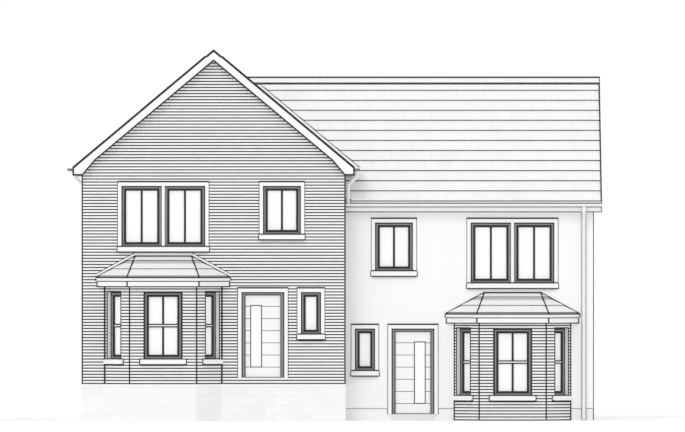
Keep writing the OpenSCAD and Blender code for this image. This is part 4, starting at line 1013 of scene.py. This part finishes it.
# Joints at the upper house's corners and at the right corner of the lower one
CORNER_JOINT, RENDER_JOINT, RENDER_IN = 0.033, 0.02, 0.012
corners = Shape("mastic")
for x in (-OUTER_END, -INNER_END - CORNER_JOINT):
    corners.box(WORLD, (x, LEFT_FRONT - ON_BRICK, LEFT_GROUND), (x + CORNER_JOINT, LEFT_FRONT, LEFT_EAVE_Z))
corners.box(WORLD, (HOUSE_W - RENDER_JOINT, -HALF_D - PROUD, 0),
            (HOUSE_W + SUNK, -HALF_D + RENDER_IN, RIGHT_EAVE_Z))
corners.make("corner_joints", "render")


# Doors

GROOVES = [0.256 + i * 0.299 for i in range(6)]
GROOVE_H, GROOVE_D = 0.014, 0.005
SLOT = (LEAF_X + LEAF_W - 0.396, 0.278, LEAF_X + LEAF_W - 0.15, 1.769)
SLOT_BEAD, BEAD_PROUD, DOOR_SEAL, STOP_SEAL = 0.022, 0.004, 0.028, 0.022
for hand in HANDS:
    at = face_at(hand == "left")
    # Dark fills in the grooves across the leaf on both sides of the slot, painting the shade in them, and
    # the bead round its glass
    trim = Shape("mastic", "gasket")
    bead = grown(*SLOT, SLOT_BEAD)
    for z in GROOVES:
        for x0, x1 in ((LEAF_X + CLEAR, bead[0]), (bead[2], LEAF_X + LEAF_W - CLEAR)):
            trim.box(at, (x0, LEAF_Y - SUNK, z), (x1, LEAF_Y + GROOVE_D + SUNK, z + GROOVE_H))
    trim.rim(at, bead, SLOT, LEAF_Y - BEAD_PROUD, LEAF_Y + DEEP)
    trim.make(hand + "_door_trim_and_groove_shade", "door_frames", body=hand + "_front_door")
    # Seals at both edges of the frame's face, round its outside and round the leaf's opening
    seals = Shape("gasket")
    for inset, top, wide in ((DOOR_SEAL,) * 3, (JAMB_W + STOP_W, HEAD_W + STOP_W, STOP_SEAL)):
        x0, x1 = ends(DOOR_AT, DOOR_W, -inset)
        seals.arch(at, x0, x1, THRESHOLD, HEAD - top, wide, STOP_Y - PROUD, STOP_Y + SUNK)
    seals.make(hand + "_door_seals", "door_frames")


# Gutters and pipes

STRAP_SWEEP, STRAP_HALF, STRAP_T = 160, 0.0125, 0.003
# Section of a pipe's collar, as (distance from the pipe's face, height)
COLLAR = ((-SUNK, -0.015), (0.004, -0.015), (0.005, 0), (0.004, 0.015), (-SUNK, 0.015))
# Lug and foot of a collar, each as (half width, start from the pipe's middle, half height)
LUGS = ((0.012, PIPE_R - 0.006, 0.01), (0.03, PIPE_FROM_WALL - 0.004, 0.014))
END_RING, END_BAR, END_IN = 0.022, 0.03, 0.0004
PIPE_SHADE_HALF, PIPE_SHADE_OUT, PIPE_SHADE_FOOT = 0.056, 0.002, 0.02
BEAD_FOOT, PLINTH_TOP, BEAD_D = 0.291, 0.3, 0.015
LEFT_GUTTERS = (2 * LEFT_MID - LEFT_GUTTER_X, LEFT_GUTTER_X)
brackets = Shape("gutter")


def straps(start, step, count, turn):
    """Bands under a gutter, from its wall side round to its front, turned from the lower front."""
    section = rectangle(-STRAP_HALF, GUTTER_R - SUNK, STRAP_HALF, GUTTER_R + STRAP_T)
    rings = [[(x, r * c, r * s) for x, r in section] for c, s in arc(-STRAP_SWEEP, 0)]
    for i in range(count):
        brackets.sweep(move(*(Vector(start) + i * Vector(step))) @ spin(turn), rings)


def collar(x, y, z, towards):
    """Clip round a downpipe, with its lug to the wall."""
    rings = [[((PIPE_R + r) * c, (PIPE_R + r) * s, h) for r, h in COLLAR] for c, s in arc(0, 360, 24)[:-1]]
    at = move(x, y, z)
    brackets.sweep(at, rings, closed=True)
    for half, start, rise in LUGS:
        low, high = sorted((towards * start, towards * PIPE_FROM_WALL))
        brackets.box(at, (-half, low, -rise), (half, high, rise))


straps((0.45, -RIGHT_GUTTER_Y, RIGHT_RIM), (0.82, 0, 0), 8, 0)
straps((0.45, RIGHT_GUTTER_Y, RIGHT_RIM), (0.82, 0, 0), 8, 180)
straps((LEFT_GUTTERS[0], LEFT_Y0 + 0.3, LEFT_RIM), (0, 0.85, 0), 11, -90)
straps((LEFT_GUTTERS[1], LEFT_Y0 + 0.25, LEFT_RIM), (0, 0.5, 0), 2, 90)
straps((LEFT_GUTTERS[1], MEET_RUN + 0.15, LEFT_RIM), (0, 0.45, 0), 2, 90)
PIPE_Y = HALF_D + PIPE_FROM_WALL
for x, y, heights, towards in (
    (PIPE_X, -PIPE_Y, (0.5, 1.9, 3.3, 4.6), 1),
    (PIPE_X, PIPE_Y, (0.5, 1.9, 3.3, 4.6), -1),
    (-HOUSE_W + PIPE_FROM_WALL, PIPE_Y, (0.4, 1.6, 2.9, 4.2, 5.5), -1),
):
    for z in heights:
        collar(x, y, z, towards)
brackets.make("gutter_and_pipe_clips", "rainwater")

# Dark seals round the stop ends of the upper house's gutters, half rings closed by a bar at the top
end_seals = Shape("mastic")
seal_in, seal_out = GUTTER_R - END_RING, GUTTER_R - END_IN
dip = degrees(asin(END_BAR / seal_in))
seal_rings = []
for (c, s), (p, q) in zip(arc(-180 + dip, -dip), arc(-180, 0)):
    inner, outer = (seal_in * c, seal_in * s), (seal_out * p, seal_out * q)
    seal_rings.append([(-PROUD, *inner), (PROUD, *inner), (PROUD, *outer), (-PROUD, *outer)])
for x in LEFT_GUTTERS:
    for y in (LEFT_Y0 - SUNK, LEFT_Y1 + SUNK):
        end_seals.sweep(move(x, y, LEFT_RIM) @ spin(90), seal_rings, closed=True)
end_seals.make("gutter_end_seals", "rainwater")

# Dark strips on the wall behind the lower house's pipes, a little wider than them, painting the shade beside
# the pipes' edges
pipe_shade = Shape("mastic")
for at in (WORLD, BEHIND):
    pipe_shade.box(at, (PIPE_X - PIPE_SHADE_HALF, -HALF_D - PIPE_SHADE_OUT, PIPE_SHADE_FOOT),
                (PIPE_X + PIPE_SHADE_HALF, -HALF_D + DEEP, RIGHT_EAVE_Z))
pipe_shade.make("painted_pipe_shade", "rainwater")

# Dark bead at the foot of the render, over the plinth, which paints the shade under the render's lip
bead = Shape("mastic")
door_ends, bay_ends = ends(DOOR_AT, DOOR_W, BAND_W), ends(BAY_AT, 2 * BAY_SIDE)
for x0, x1 in ((PARTY_HALF, door_ends[0]), (door_ends[1], bay_ends[0]), (bay_ends[1], HOUSE_W)):
    bead.box(WORLD, (x0, -HALF_D, BEAD_FOOT), (x1, -HALF_D + BEAD_D, PLINTH_TOP))
bead.box(WORLD, (HOUSE_W - BEAD_D, -HALF_D + BEAD_D, BEAD_FOOT),
         (HOUSE_W, HALF_D - BEAD_D, PLINTH_TOP - OVER))
bead.box(WORLD, (PARTY_HALF, HALF_D - BEAD_D, BEAD_FOOT), (HOUSE_W, HALF_D, PLINTH_TOP - OVER))
bead.make("render_bead_and_shade", "render")


# Stage, light and camera

FLOOR_HALF = 60
ground_mesh = bpy.data.meshes.new("floor")
corners = rectangle(-FLOOR_HALF, -FLOOR_HALF, FLOOR_HALF, FLOOR_HALF)
ground_mesh.from_pydata([(x, y, 0) for x, y in corners], [], [(0, 1, 2, 3)])
pale_floor = finish("studio_floor", (0.97, 0.97, 0.97), 0.9, vary=0.004, grain=0.05, fine=0.004)
ground_mesh.materials.append(pale_floor)
add("floor", ground_mesh)

world = bpy.data.worlds.new("studio")
world.use_nodes = True
world.node_tree.nodes["Background"].inputs["Color"].default_value = (1, 1, 1, 1)
bpy.context.scene.world = world
sun = bpy.data.lights.new("key", "SUN")
sun.energy = 0.45
sun.angle = radians(25)
key = add("key", sun)
key.rotation_euler = (radians(48), 0, radians(-28))

# A long lens from far away, level with the middle of the front, shows the elevation as drawn
VIEW_W, SENSOR, LENS, CAMERA_X, CAMERA_Z = 16.85, 36.0, 1080.0, 0.111, 5.03
FOCUS_Y = LEFT_FRONT + 0.3
lens = bpy.data.cameras.new("camera")
lens.sensor_width, lens.lens = SENSOR, LENS
lens.clip_start, lens.clip_end = 1, 2000
camera = add("camera", lens)
camera.location = (CAMERA_X, FOCUS_Y - LENS * VIEW_W / SENSOR, CAMERA_Z)
camera.rotation_euler = (radians(90), 0, 0)
bpy.context.scene.camera = camera
bpy.context.scene.view_settings.view_transform = "Standard"
